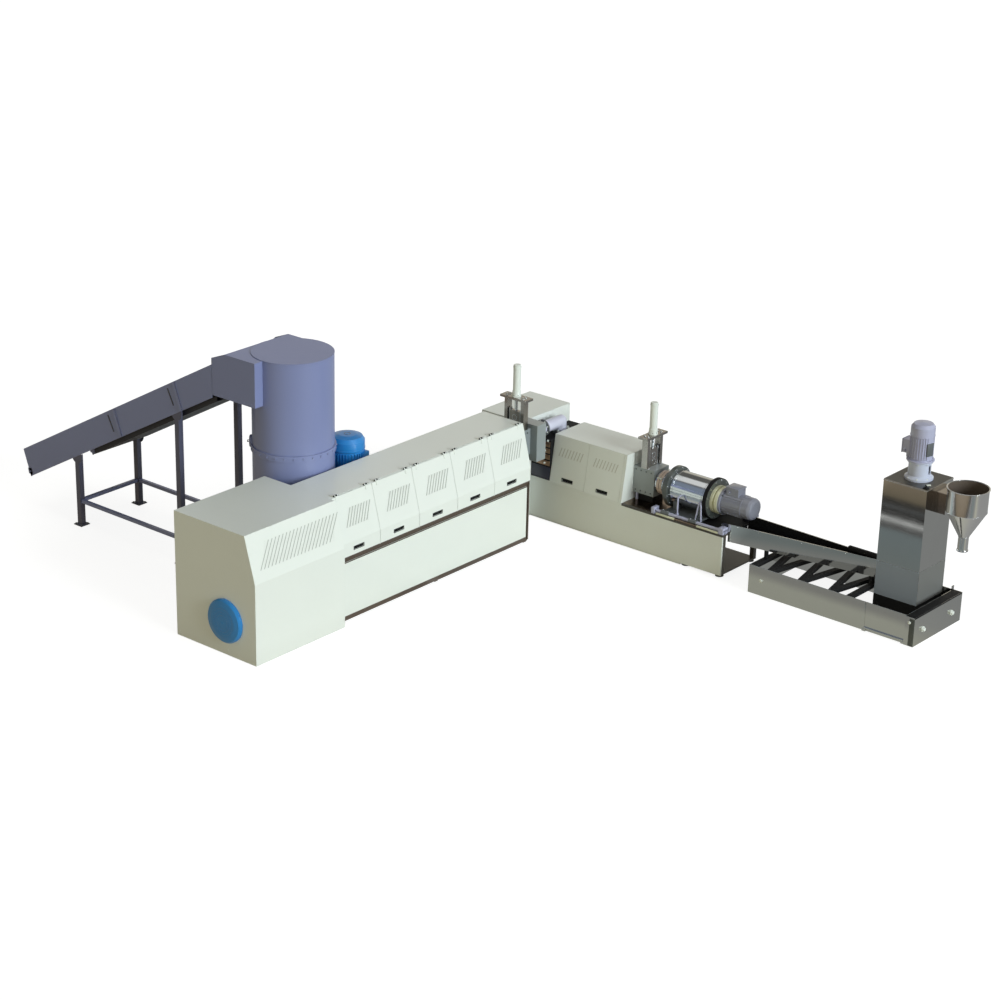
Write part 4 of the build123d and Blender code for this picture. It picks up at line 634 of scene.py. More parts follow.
@dataclass
class GuardHousing(Assembly):
    """The first drive housing, and the guard with its row of hinged doors."""

    shoulder_x: float = 0.668
    shoulder_z: float = 1.03
    top_x: float = 0.502
    top_z: float = 1.6
    end_y: float = 4.335
    drive_row: VentRow = VentRow(-0.562, 0.061, 20, 0.14, 0.31, 0.70)
    door_row: VentRow = VentRow(0.19, 0.05, 8, 0.182, 0.225, 0.50)
    door_front: float = 0.586
    door_top: float = 0.438
    door_start: float = 0.755
    door_pitch: float = 0.716
    door_count: int = 5
    door_slope: float = 0.560
    slot_width: float = 0.016
    slot_lean: float = 0.29
    slot_depth: float = 0.005
    handle_z: float = 0.936
    handle_shift: float = -0.022
    hinge_offset: float = 0.097
    pin_x: float = 0.430
    pin_z: float = 1.614
    lip: float = 0.0032
    fold: float = 0.012

    def doors(self) -> Iterator[tuple[int, str, float]]:
        """Each door's number, body and near edge."""
        for index in range(self.door_count):
            yield index + 1, f"guard_door_{index + 1}", self.door_start + index * self.door_pitch

    def vent(self, label: str, body: str, low_x: float, high_x: float, row: VentRow, near: float) -> None:
        """Fill a sheet's pressed slots, and lay a row of leaning louvres over them, with strips of painted
        shade in their gaps.

        Args:
            label: What the pieces' names start with.
            body: The body they ride on.
            low_x: X of the slope's lower edge.
            high_x: X of its upper edge.
            row: The louvres.
            near: Y of the sheet's start.
        """
        foot = Vector((low_x, 0.0, self.shoulder_z))
        up = (Vector((high_x, 0.0, self.top_z)) - foot).normalized()
        out = Vector((up.z, 0.0, -up.x))
        starts = [near + row.start + index * row.pitch for index in range(row.count)]
        pressed, lean, fit = row.length * self.slot_lean, row.length * row.lean, 0.0003
        head = row.bottom + row.length

        def outline(y0: float, y1: float, shift: float, inset: float, back: float) -> list[Vector]:
            """A slot's corners, set back from the sheet's face."""
            return [foot - out * back + Y * y + up * z
                    for y, z in ((y0, row.bottom + inset), (y1, row.bottom + inset),
                                 (y1 + shift, head - inset), (y0 + shift, head - inset))]

        with self.piece(f"{label}_vent_backs", Look.IVORY, body, False) as forge:
            for y in starts:
                corners = outline(y + fit, y + self.slot_width - fit, pressed, fit, self.slot_depth - 0.0004)
                forge.slab(corners, out * (self.slot_depth - 0.0001))
        # The first row is painted shade: flat dark strips that stand in for the shade inside each louvre's
        # opening.
        for name, look, y0, y1, rise in (("vent_gap_shade", Look.VENT_SHADE, 0.001, 0.012, 0.0008),
                                         ("louvres", Look.IVORY, 0.012, 0.0155, 0.0024)):
            with self.piece(f"{label}_{name}", look, body, False) as forge:
                for y in starts:
                    y -= (lean - pressed) / 2
                    forge.slab(outline(y + y0, y + y1, lean, 0.0, 0.0002), out * rise)

    def hinges(self) -> None:
        """Dark pin heads on the roof's hinge lugs, and a dark sleeve on each door's knuckle."""
        with self.piece("roof_hinge_pins", Look.BLACK) as fixed:
            for number, body, near in self.doors():
                with self.piece(f"door_{number}_hinge_sleeves", Look.BLACK, body) as moving:
                    for y in (near + self.hinge_offset, near + self.door_pitch - self.hinge_offset):
                        pin = Vector((self.pin_x, y, self.pin_z))
                        for head in (-0.0325, 0.0325):
                            fixed.rod(pin + Y * head, pin + Y * head * 1.10, 0.0115, 20, bevel=0.001)
                        moving.ring(pin - Y * 0.014, Y, 0.0101, 0.0118, 0.028, 24)

    def lips(self) -> None:
        """Folded lips on both ends of each door, which leave a hairline between two doors."""
        bend = Vector((self.door_front, 0.0, self.shoulder_z))
        slope = (Vector((self.door_top, 0.0, self.top_z)) - bend).normalized()
        inward = Vector((-slope.z, 0.0, slope.x)) * self.fold
        end = bend + slope * self.door_slope
        for number, body, _ in self.doors():
            low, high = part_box(body)
            foot = Vector((self.door_front, 0, low[2] + 0.002))
            flat = [foot, bend, bend + Vector((-self.fold, 0, -0.0015)), foot - X * self.fold]
            lean = [bend, end, end + inward, bend + inward]
            with self.piece(f"door_{number}_lips", Look.IVORY, body, False) as forge:
                for (y, side), corners in product(((low[1], -1), (high[1], 1)), (flat, lean)):
                    forge.slab([corner + Y * (y - side * 0.001) for corner in corners], Y * side * self.lip)

    def screws(self) -> None:
        """Flat screws along the roof's back edge, the end sheet and the housing's foot."""
        with self.piece("housing_screws", Look.IVORY) as forge:
            for index in range(13):
                forge.dome((-0.205, 0.86 + index * 0.285, self.top_z), Z)
            for z, x in (*product((0.12, 0.45, 0.70), (-0.205, 0.165, 0.52)),
                         *product((1.5,), (-0.205, 0.165, 0.39))):
                forge.dome((x, self.end_y, z), Y)
            for x in (-0.62, -0.2, 0.2, 0.62):
                forge.dome((x, -0.755, 0.06), -Y)
            for y, z in product((-0.70, -0.25, 0.25, 0.70), (0.08, 0.85, 1.52)):
                forge.dome((-self.shoulder_x, y, z), -X)

    def trims(self) -> None:
        """Brown edging along the lower sheet, the foot rail, the far post and each door's foot."""
        with self.piece("rail_edging", Look.BROWN, smooth=False) as forge:
            forge.box((0.5735, 0.757, 0.771), (0.5752, 4.3155, 0.7825))
            forge.box((0.5465, 0.757, 0.010), (0.5615, 4.330, 0.0325), 0.001)
            forge.box((0.5595, 4.3145, 0.030), (0.5757, 4.3362, 0.841), 0.001)
        for number, body, _ in self.doors():
            low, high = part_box(body)
            with self.piece(f"door_{number}_hem", Look.BROWN, body, False) as forge:
                forge.box((high[0] - 0.004, low[1] + 0.001, low[2] - 0.0008),
                          (high[0] + 0.0012, high[1] - 0.001, low[2] + 0.0105))

    def cowl(self) -> None:
        """Rings of the fan cowl's grille, and its rim clips."""
        low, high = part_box("drive_motor_cowl")
        centre, radius = middle("drive_motor_cowl"), (high[0] - low[0]) / 2
        centre.y = low[1]
        with self.piece("cowl_grille", Look.MOTOR_BLUE) as forge:
            for share, back in ((0.30, 0.0045), (0.45, 0.0050), (0.60, 0.0075)):
                forge.ring(centre + Y * back, -Y, radius * share, radius * share + 0.005, 0.004, 48)
            for x, z in circle(6):
                forge.bolt((centre.x + x * radius, -0.769, centre.z + z * radius), (x, 0, z), 0.016, 0.008)

    def build(self) -> None:
        """Build every small part of the housing and the doors."""
        self.vent("drive", ROOT, self.shoulder_x, self.top_x, self.drive_row, 0.0)
        for number, body, near in self.doors():
            self.vent(f"door_{number}", body, self.door_front, self.door_top, self.door_row, near)
        for number, body, near in self.doors():
            with self.piece(f"door_{number}_pull", Look.BLACK, body) as forge:
                middle = near + self.door_pitch / 2 + self.handle_shift
                forge.pull_cup((self.door_front, middle, self.handle_z), X, Y)
        self.hinges()
        self.lips()
        self.screws()
        self.trims()
        self.cowl()


@dataclass
class Compactor(Assembly):
    """The round compactor, its flange ring, port cover, rotor motor and feet."""

    radius: float = 0.509
    ring_reach: float = 0.018
    ring_z: float = 1.8025
    ring_bolts: int = 28
    port_angle: float = 223.0
    port_z: float = 1.858
    port_reach: float = 0.529
    fin_count: int = 36

    def out(self, degrees: float) -> Vector:
        """The way out from the drum's axis at an angle."""
        return Vector((math.cos(math.radians(degrees)), math.sin(math.radians(degrees)), 0))

    def drum(self) -> None:
        """The lid's raised edge, the welds down the wall's back, and the flange ring's bolts."""
        axis, top = middle("compactor_shell", 0.0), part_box("compactor_ends")[1][2]
        inner, outer = self.radius - 0.001, self.radius + 0.003
        with self.piece("drum_lid_edge", Look.BLUE_GREY) as forge:
            forge.lathe(axis + Z * (top - 0.012), Z,
                        [(inner, 0), (outer, 0.002), (outer, 0.010), (inner, 0.012)], 96)
            for degrees, z0, z1 in ((70.0, 1.12, 1.76), (100.0, 1.94, 2.99)):
                foot = axis + self.out(degrees) * inner
                forge.rod(foot + Z * z0, foot + Z * z1, 0.003, 8)
        with self.piece("ring_bolts", Look.BLUE_GREY) as forge:
            for x, y in circle(self.ring_bolts):
                way = Vector((x, y, 0))
                forge.bolt(axis + way * (self.radius + self.ring_reach) + Z * self.ring_z, way, 0.02, 0.011)
        with self.piece("port_cover_fittings", Look.DARK_STEEL) as forge:
            way = self.out(self.port_angle)
            side = way.cross(Z)
            place = axis + way * self.port_reach + Z * self.port_z
            for x, z in circle(6, 0.0):
                forge.bolt(place + side * x * 0.066 + Z * z * 0.066, way, 0.016, 0.01)
            forge.pipe([place + side * along + way * reach for along, reach in
                        ((-0.03, 0.012), (-0.03, 0.034), (0.03, 0.034), (0.03, 0.012))], 0.005)

    def motor(self) -> None:
        """The rotor motor's cooling fins, its cowl's rim, terminal box, foot bolts and fan guard."""
        low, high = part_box("compactor_motor")
        axis = middle("compactor_motor", 0.0)
        radius, height = (high[0] - low[0]) / 2, high[2] - low[2]
        with self.piece("rotor_motor_fins", Look.MOTOR_BLUE) as forge:
            forge.around(axis, "Z", (360 * index / self.fin_count for index in range(self.fin_count)),
                         (radius * 0.91, -0.0025, low[2] + 0.07), (radius, 0.0025, low[2] + height * 0.70))
        with self.piece("rotor_motor_fittings", Look.MOTOR_BLUE) as forge:
            forge.box((axis.x - 0.09, high[1] - 0.03, low[2] + 0.22),
                      (axis.x + 0.09, high[1] + 0.09, low[2] + 0.42), 0.008)
            forge.ring(axis + Z * (low[2] + height * 0.745), Z, radius - 0.001, radius + 0.004, 0.02, 48)
        with self.piece("rotor_motor_bolts", Look.DARK_STEEL) as forge:
            for x, y in circle(8):
                forge.bolt(axis + Vector((x, y, 0)) * (radius + 0.006) + Z * low[2], Z, 0.024, 0.02)
            for index in range(5):
                inner = 0.035 + index * 0.022
                forge.ring(axis + Z * (high[2] - 0.002 - index * 0.004), Z, inner, inner + 0.006, 0.003, 40)

    def build(self) -> None:
        """Build every small part of the compactor, with the anchor bolts in its feet."""
        self.drum()
        self.motor()
        low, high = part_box("compactor_legs")
        with self.piece("drum_feet_bolts", Look.DARK_STEEL) as forge:
            for near, far in product((0.0125, 0.1375), repeat=2):
                for x, y in product((low[0] + near, high[0] - near), (low[1] + far, high[1] - far)):
                    forge.bolt((x, y, 0.015), Z, 0.018, 0.014)


@dataclass
class FeedConveyor(Assembly):
    """The inclined belt's tail brackets, painted rib shadows, screws, head hood trim and feet."""

    slope: float = math.radians(29.0)
    low_x: float = -5.202
    low_z: float = 0.797
    front_y: float = 0.735
    back_y: float = 1.838
    depth: float = 0.375
    screw_pitch: float = 0.245

    def top(self, x: float) -> float:
        """Height of the side plates' top edge above x."""
        return self.low_z + (x - self.low_x) * math.tan(self.slope)

    def sides(self) -> tuple[tuple[float, int], ...]:
        """Each side plate's face, and which way it looks along Y."""
        return (self.front_y, -1), (self.back_y, 1)

    def plates(self) -> None:
        """Notched tail brackets, dark strips of painted shadow beside the ribs, painted shade on the rib
        sides and round screws.
        """
        notched = ((-5.130, 0.545), (-5.060, 0.560), (-5.030, 0.500), (-5.060, 0.440), (-5.085, 0.470),
                   (-5.112, 0.470))
        with self.piece("tail_brackets", Look.BLUE_GREY, smooth=False) as forge:
            for y, side in self.sides():
                forge.slab([(x, y, z) for x, z in notched], Y * -side * 0.010)
                forge.bolt((-5.070, y, 0.515), Y * side, 0.014, 0.008)
        joints = (-3.379, -2.241)
        drop = self.depth / math.cos(self.slope)
        # Painted shadow: a dark slanted strip on the side plate beside each rib, where the rib's shadow
        # falls.
        with self.piece("rib_shadow_strips", Look.NAVY, smooth=False) as forge:
            for x, (y, side) in product(joints, self.sides()):
                z = self.top(x) - self.depth * 0.14
                forge.slab([(x + dx, y, z + dz) for dx, dz in ((-0.098, -0.055), (-0.080, -0.045),
                                                               (0.024, -0.250), (0.006, -0.260))],
                           Y * side * 0.004)
        # Painted shade: dark skins on the ribs' lit side faces.
        with self.piece("rib_side_shade", Look.SHADED_BLUE_GREY, smooth=False) as forge:
            for x, (y, side) in product(joints, self.sides()):
                head = Vector((x + 0.045 * math.cos(self.slope), y,
                               self.top(x) + 0.045 * math.sin(self.slope) - 0.0068))
                foot = head + Vector((0.128, 0, 0.128 * math.tan(self.slope) - drop + 0.0136))
                forge.slab([head, head + X * 0.0015, foot + X * 0.0015, foot], Y * side * 0.0145)
        with self.piece("side_plate_screws", Look.BLUE_GREY) as forge:
            rows = ((0.0, 0.045), (0.06, drop - 0.073))
            for index, (dx, fall), (y, side) in product(range(15), rows, self.sides()):
                x = self.low_x + 0.22 + index * self.screw_pitch
                forge.dome((x + dx, y, self.top(x) - fall), Y * side, 0.0085)

    def hood(self) -> None:
        """Folded rims and screws round the head hood, and a rubber curtain at its mouth."""
        low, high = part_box("feed_hood")
        rim, mouth = 0.03, low[0] + 0.001
        with self.piece("hood_rims", Look.BLUE_GREY) as forge:
            for y in (low[1], high[1] - rim):
                forge.box((mouth, y, low[2] + 0.008), (mouth + 0.006, y + rim, high[2] - 0.10), 0.001)
            forge.box((mouth, low[1] + 0.01, low[2] + 0.006), (mouth + 0.006, high[1] - 0.01, low[2] + 0.04),
                      0.001)
            for index, (y, side) in product(range(6), ((low[1], -1), (high[1], 1))):
                forge.dome((low[0] + 0.06 + index * 0.125, y, low[2] + 0.03), Y * side, 0.0085)
        count = 9
        width = (high[1] - low[1] - 2 * rim) / count
        with self.piece("hood_curtain", Look.BELT, smooth=False) as forge:
            for index in range(count):
                x, y = low[0] + 0.012 + 0.004 * (index % 2), low[1] + rim + index * width
                forge.box((x, y + 0.002, high[2] - 0.32), (x + 0.003, y + width + 0.01, high[2] - 0.12))

    def build(self) -> None:
        """Build every small part of the conveyor, with the anchor bolts in its feet."""
        self.plates()
        self.hood()
        low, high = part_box("conveyor_legs")
        with self.piece("conveyor_foot_bolts", Look.DARK_STEEL) as forge:
            for x, y, dx, dy in product((-4.12, -2.184), (low[1] + 0.075, high[1] - 0.075), (-0.055, 0.055),
                                        (-0.055, 0.055)):
                forge.bolt((x + dx, y + dy, 0.012), Z, 0.018, 0.013)


@dataclass
class ScreenChangers(Assembly):
    """Fittings of the two slide-plate screen changers and the melt line between the stages."""

    ram_foot: float = 0.43
    first_z: float = 1.428
    second: Point = (1.683, 5.445, 1.038)
    axis_z: float = 0.86
    collar_x: float = 1.848
    pipe_x: float = 0.178
    pipe_z: float = 1.276

    def yoke_nuts(self, forge: Forge, origin: Vector, along: Vector) -> None:
        """Add the nuts of one yoke and of its ram's foot.

        Args:
            forge: The mesh to add to.
            origin: The middle of the block's top.
            along: The way from one column to the other.
        """
        across = Z.cross(along)
        for side in (-1, 1):
            foot = origin + along * side * 0.135
            for step in (-0.028, 0.028):
                forge.bolt(foot + across * step + Z * self.ram_foot, Z, 0.026, 0.02)
            for step in (-0.052, 0.052):
                forge.bolt(foot + across * step, Z, 0.024, 0.016)
        for a, b in circle(6):
            spot = origin + (along * a + across * b) * 0.054
            forge.bolt(spot + Z * (self.ram_foot + 0.022), Z, 0.012, 0.008)

    def yokes(self) -> None:
        """Both yokes' nuts, and the bright edges, rod and bosses of their slide plates."""
        first = Vector((self.pipe_x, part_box("screen_blocks")[0][1] + 0.115, self.first_z))
        yokes = ((first, X), (Vector(self.second), Y))
        with self.piece("yoke_nuts", Look.POLISHED) as forge:
            for origin, along in yokes:
                self.yoke_nuts(forge, origin, along)
        with self.piece("slide_plate_edges", Look.POLISHED) as forge:
            for origin, along in yokes:
                across = Z.cross(along)
                for side, face in product((-1, 1), (-1, 1)):
                    foot = origin + along * side * 0.088 + across * face * 0.02
                    forge.rod(foot + Z * 0.002, foot + Z * 0.26, 0.011, 12)
                forge.rod(origin + Z * 0.24, origin + Z * 0.42, 0.02, 20)
                for height, way in product((0.06, 0.15), (-across, across)):
                    forge.ring(origin + Z * height + way * 0.027, way, 0.030, 0.042, 0.004, 28)

    def rams(self) -> None:
        """End caps and port bosses of the two hydraulic rams."""
        with self.piece("ram_fittings", Look.WHITE) as forge:
            for foot in (Vector((self.pipe_x, 4.51, 1.858)), Vector((1.683, 5.445, 1.468))):
                forge.lathe(foot + Z * 0.022, Z,
                            [(0.049, 0), (0.056, 0), (0.056, 0.05), (0.052, 0.056), (0.049, 0.056)], 32)
                forge.lathe(foot + Z * 0.385, Z,
                            [(0.0495, 0), (0.0535, 0.002), (0.0535, 0.02), (0.0495, 0.022)], 32)
                for height in (0.05, 0.39):
                    port = foot + Z * height
                    forge.rod(port + Y * 0.045, port + Y * 0.072, 0.012, 16, bevel=0.002)

    def blocks(self) -> None:
        """Cartridge heater ends on each block, the die's collars and bands, and the block's stand."""
        with self.piece("block_heaters", Look.DARK_STEEL) as forge:
            for y, z in product((4.44, 4.50, 4.56), (1.12, 1.38)):
                forge.rod((0.332, y, z), (0.341, y, z), 0.011, 16, bevel=0.002)
            for x, z in product((1.56, 1.64, 1.72, 1.80), (0.72, 1.0)):
                forge.rod((x, 5.291, z), (x, 5.282, z), 0.011, 16, bevel=0.002)
        axis = Vector((self.collar_x, self.second[1], self.axis_z))
        with self.piece("die_collars", Look.POLISHED) as forge:
            for start, radius, width in ((0.012, 0.152, 0.018), (0.118, 0.156, 0.03)):
                forge.ring(axis + X * start, X, 0.145, radius, width, 48)
            for y, z in circle(12, 0.0):
                forge.bolt(axis + X * 0.159 + Vector((0, y, z)) * 0.176, -X, 0.022, 0.018)
        with self.piece("die_heaters", Look.BAND_CREAM) as forge:
            for start in (0.036, 0.078):
                forge.ring(axis + X * start, X, 0.146, 0.157, 0.034, 48)
        with self.piece("heater_plugs", Look.WHITE) as forge:
            for start, degrees in product((0.053, 0.095), (35.0, 118.0)):
                turn = math.radians(degrees)
                way = Vector((0, -math.cos(turn), math.sin(turn)))
                foot = axis + X * start + way * 0.156
                forge.rod(foot, foot + way * 0.022, 0.014, 20, bevel=0.002)
        self.sheet("block_stand_skin", Look.BLACK, (1.5265, 5.3335, 0.5785), (1.8095, 5.5565, 0.6815), 0.001)
        self.sheet("block_stand_post", Look.LAVENDER, (1.560, 5.300, 0.5785), (1.584, 5.332, 0.6815), 0.002)

    def melt_line(self) -> None:
        """Flanges, bolts and heater bands where the melt pipe drops into the second stage."""
        drop, bend = Vector((self.pipe_x, self.second[1], 1.138)), Vector((self.pipe_x, 5.06, self.pipe_z))
        with self.piece("melt_flange", Look.DARK_STEEL) as forge:
            forge.ring(drop, Z, 0.075, 0.135, 0.024, 40)
            forge.ring(bend, Y, 0.078, 0.112, 0.022, 40)
        with self.piece("melt_bolts", Look.WHITE) as forge:
            for a, b in circle(8):
                forge.bolt(drop + Vector((a, b, 0)) * 0.112 + Z * 0.024, Z, 0.026, 0.02)
                forge.bolt(bend + Vector((a, 0, b)) * 0.097, -Y, 0.016, 0.012)
        with self.piece("melt_heater_bands", Look.PIPE_WHITE) as forge:
            for y in (4.87, 4.97):
                forge.ring((self.pipe_x, y, self.pipe_z), Y, 0.0795, 0.0865, 0.06, 40)

    def build(self) -> None:
        """Build every fitting of the screen changers and the melt line."""
        self.yokes()
        self.rams()
        self.blocks()
        self.melt_line()


@dataclass
class SecondStage(Assembly):
    """Trim of the second drive, the feed box, the barrel cover and the bed."""

    cover_x: float = 0.338
    door_length: float = 0.57
    lean: float = 0.1
    foot_y: float = 5.045
    foot_z: float = 0.578
    head_z: float = 1.215
    slot_pitch: float = 0.05
    slots: int = 8
    slot_width: float = 0.016
    slot_lean: float = 0.29
    vent_z: float = 0.94
    vent_height: float = 0.12
    handle_z: float = 0.645

    def cover_face(self, x: float, z: float) -> Vector:
        """A point on the cover's leaning front."""
        share = (z - self.foot_z) / (self.head_z - self.foot_z)
        return Vector((x, self.foot_y + self.lean * share, z))

    def doors(self) -> None:
        """Pull cups of the two lift-off doors, and vent bottoms in a pale grey of painted shade."""
        up = (self.cover_face(0, self.head_z) - self.cover_face(0, self.foot_z)).normalized()
        out = Vector((0, -up.z, up.y))
        rise, lean = self.vent_height * up.z, self.vent_height * self.slot_lean
        middles = [self.cover_x + (index + 0.5) * self.door_length - 0.002 for index in range(2)]
        with self.piece("cover_door_pulls", Look.BLACK) as forge:
            for middle in middles:
                forge.pull_cup(self.cover_face(middle, self.handle_z), out, X)
        # Painted shade: pale grey sheets at the bottoms of the vent slots.
        with self.piece("cover_vent_shade", Look.PALE_VENT_SHADE, smooth=False) as forge:
            for middle, slot in product(middles, range(self.slots)):
                x = middle + (slot - (self.slots - 1) / 2) * self.slot_pitch - lean / 2
                forge.slab([self.cover_face(x + dx, self.vent_z + dz) - out * 0.0046
                            for dx, dz in ((0, 0), (self.slot_width, 0), (self.slot_width + lean, rise),
                                           (lean, rise))], out * 0.002)

    def feed(self) -> None:
        """Copper heater bands, white clamp bolts and a dark lower strip on the feed box."""
        with self.piece("feed_box_bands", Look.BAND_COPPER) as forge:
            for z in (0.775, 0.862, 0.949, 1.036):
                forge.box((0.030, 5.050, z), (0.322, 5.0605, z + 0.070), 0.006)
        with self.piece("feed_box_bolts", Look.WHITE) as forge:
            for x in (0.075, 0.178, 0.281):
                forge.bolt((x, 5.060, 1.122), -Y, 0.022, 0.014)
            for z in (0.81, 0.984):
                forge.rod((0.245, 5.050, z), (0.245, 5.034, z), 0.014, 20, bevel=0.002)
        self.sheet("feed_box_skirt", Look.NAVY, (0.020, 5.054, 0.582), (0.327, 5.0605, 0.752), 0.002)

    def drive(self) -> None:
        """Screws on the second drive housing."""
        low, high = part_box("second_drive_housing")
        inset, heights = 0.05, (0.08, 0.72, 1.33)
        with self.piece("second_drive_screws", Look.IVORY) as forge:
            for x, z in product((low[0] + inset, (low[0] + high[0]) / 2, high[0] - inset), heights):
                forge.dome((x, high[1], z), Y)
            for y, z in product((low[1] + inset, (low[1] + high[1]) / 2, high[1] - inset), heights):
                forge.dome((low[0], y, z), -X)

    def bed(self) -> None:
        """The bed's foot pads with their nuts, its top sheet, black end sheets that paint the shade under the
        cutter's motor, and its back screws.
        """
        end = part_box("bed_frame")[1][0]
        with self.piece("bed_feet", Look.DARK_STEEL) as forge:
            for x, y in product((end - 0.58, end - 0.06), (5.115, 5.775)):
                forge.lathe((x, y, 0.0), Z,
                            [(0.0, 0), (0.055, 0), (0.055, 0.008), (0.03, 0.016), (0.0, 0.016)], 28)
                forge.rod((x, y, 0.022), (x, y, 0.03), 0.047, 6)
        self.sheet("bed_top_sheet", Look.BED, (1.524, 5.080, 0.5778), (2.48, 5.838, 0.5794))
        # Painted shade: a black sheet on the bed's top beyond the brown sheet, under the cutter's coupling
        # and motor. The second box is a black patch on the bed's end face.
        with self.piece("bed_end_shade", Look.BLACK) as forge:
            forge.box((2.481, 5.080, 0.5778), (end - 0.006, 5.838, 0.5794))
            forge.box((end - 0.0005, 5.17, 0.480), (end + 0.0002, 5.59, 0.5785))
        self.sheet("bed_top_lip", Look.IVORY, (0.014, 5.0435, 0.545), (1.528, 5.0465, 0.5785))
        with self.piece("bed_screws", Look.IVORY) as forge:
            for index, z in product(range(9), (0.08, 0.5)):
                forge.dome((0.12 + index * 0.27, 5.845, z), Y)

    def build(self) -> None:
        """Build every small part of the second stage."""
        self.doors()
        self.feed()
        self.drive()
        self.bed()


@dataclass
class Cutter(Assembly):
    """The die-face cutter's flanges, brackets, motor trim, guide rail and end stops."""

    axis_y: float = 5.445
    axis_z: float = 0.86
    deck_z: float = 0.5785
    bracket_foot: float = 0.62
    motor_radius: float = 0.145
    rod_y: tuple[float, float] = (5.099, 5.791)

    def at(self, x: float, degrees: float = 0.0, radius: float = 0.0) -> Vector:
        """A place round the chamber's axis; 0 degrees points to the back, 90 up."""
        angle = math.radians(degrees)
        return Vector((x, self.axis_y + math.cos(angle) * radius, self.axis_z + math.sin(angle) * radius))

    def chamber(self, start: float, end: float) -> None:
        """Bolts of both flanges, seams round the chamber, and dark skins of painted reflection on its flange
        and closing disc.
        """
        with self.piece("chamber_bolts", Look.POLISHED, CUTTER) as forge:
            for index in range(12):
                degrees = 30.0 * (index + 0.5)
                forge.bolt(self.at(start + 0.055, degrees, 0.248), X, 0.02, 0.014)
                forge.bolt(self.at(end, degrees, 0.240), X, 0.018, 0.012)
        with self.piece("chamber_bands", Look.POLISHED, CUTTER) as forge:
            profile = [(0.2245, 0), (0.2285, 0.002), (0.2285, 0.016), (0.2245, 0.018)]
            for x in (start + 0.10, end - 0.11):
                forge.lathe(self.at(x), X, profile, 64)
        # Painted reflection: dark skins on the polished flange and closing disc, for the dark studio that
        # they mirror.
        with self.piece("flange_dark_reflection", Look.DISC, CUTTER) as forge:
            forge.ring(self.at(start + 0.0005), X, 0.222, 0.2712, 0.0557, 64)
            forge.ring(self.at(end + 0.0008), X, 0.183, 0.2585, 0.0012, 64)
        with self.piece("closing_disc_dark_reflection", Look.BLACK, CUTTER) as forge:
            forge.ring(self.at(end - 0.0515), X, 0.182, 0.2665, 0.0527, 64)

    def supports(self, start: float) -> None:
        """The thin post and the inverted-V bracket that hold the chamber's front to the carriage."""
        x, y, z0 = start + 0.27, self.axis_y - 0.30, self.bracket_foot
        with self.piece("chamber_supports", Look.LAVENDER, CUTTER) as forge:
            forge.rod((x, y, z0), (x, y, 0.865), 0.011, 16)
            forge.box((x - 0.018, y - 0.015, z0), (x + 0.018, y + 0.015, z0 + 0.02), 0.002)
            forge.pipe([Vector((x, y, 0.855)), Vector((x, self.axis_y - 0.222, 0.865))], 0.009)
            peak = Vector((start + 0.585, self.axis_y - 0.262, 0.86))
            for step in (-0.045, 0.045):
                forge.pipe([Vector((peak.x + step, y + 0.01, z0)), peak + X * step * 0.25], 0.011)
            forge.pipe([peak, peak + Y * 0.027 + Z * 0.004], 0.011)

    def motor(self) -> None:
        """Fins, seam, terminal box lid, gland, bolts and fan guard of the cutter's motor."""
        low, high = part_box("cutter_motor")
        x0, top, radius = low[0], high[2], self.motor_radius
        with self.piece("cutter_motor_fins", Look.MOTOR_LILAC, CUTTER) as forge:
            angles = (360.0 * (index + 0.5) / 28 for index in range(28))
            forge.around(self.at(0.0), "X", (angle for angle in angles if not 60 < angle < 120),
                         (x0 + 0.05, radius - 0.004, -0.002), (x0 + 0.30, radius + 0.006, 0.002))
            forge.ring(self.at(x0 + 0.315), X, radius - 0.002, radius + 0.006, 0.012, 48)
            forge.box((x0 + 0.062, self.axis_y - 0.088, top - 0.014),
                      (x0 + 0.258, self.axis_y + 0.088, top + 0.004), 0.003)
            gland = Vector((x0 + 0.12, self.axis_y - 0.079, top - 0.06))
            forge.rod(gland, gland - Y * 0.031, 0.014, 18, bevel=0.002)
        with self.piece("cutter_motor_bolts", Look.DARK_STEEL, CUTTER) as forge:
            for degrees in (45.0, 135.0, 225.0, 315.0):
                forge.bolt(self.at(x0 + 0.03, degrees, 0.160), X, 0.02, 0.016)
            for inner in (0.03, 0.05, 0.07, 0.09):
                forge.ring(self.at(high[0] - 0.001), X, inner, inner + 0.005, 0.0008, 32)

    def rails(self) -> None:
        """The flat beige guide rail at the front with its shoe, the rods' clamps and the end stops."""
        (x0, *_), (x1, *_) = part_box("slide_rods")
        with self.piece("guide_rail", Look.CREAM) as forge:
            for start, end in ((x0 + 0.06, 2.36), (2.70, x1 - 0.05)):
                forge.box((start, 5.052, self.deck_z), (end, 5.076, 0.600), 0.002)
        self.sheet("guide_rail_shoe", Look.BED, (2.3605, 5.051, self.deck_z), (2.6995, 5.077, 0.603), 0.002)
        with self.piece("rod_end_clamps", Look.LAVENDER) as forge:
            for x, wide in ((x0 - 0.012, 0.052), (x1 - 0.082, 0.082)):
                forge.box((x, 5.049, 0.579), (x + wide, 5.155, 0.664), 0.006)
                for y in (5.068, 5.136):
                    forge.bolt((x + wide / 2, y, 0.664), Z, 0.014, 0.006)
        with self.piece("end_stops", Look.NAVY) as forge:
            for y0, y1, top in ((5.17, 5.225, 0.672), (5.64, 5.73, 0.640)):
                forge.box((x1 - 0.12, y0, 0.579), (x1 - 0.006, y1, top), 0.005)

    def build(self) -> None:
        """Build every small part of the cutter and its rails."""
        (start, *_), (end, *_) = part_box("cutter_chamber")
        self.chamber(start, end)
        self.supports(start)
        self.motor()
        low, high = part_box("cutter_carriage")
        with self.piece("carriage_screws", Look.POLISHED, CUTTER) as forge:
            for y, x in product(self.rod_y, (low[0] + 0.03, low[0] + 0.09, high[0] - 0.09, high[0] - 0.03)):
                forge.bolt((x, y, 0.6485), Z, 0.016, 0.01)
        self.rails()


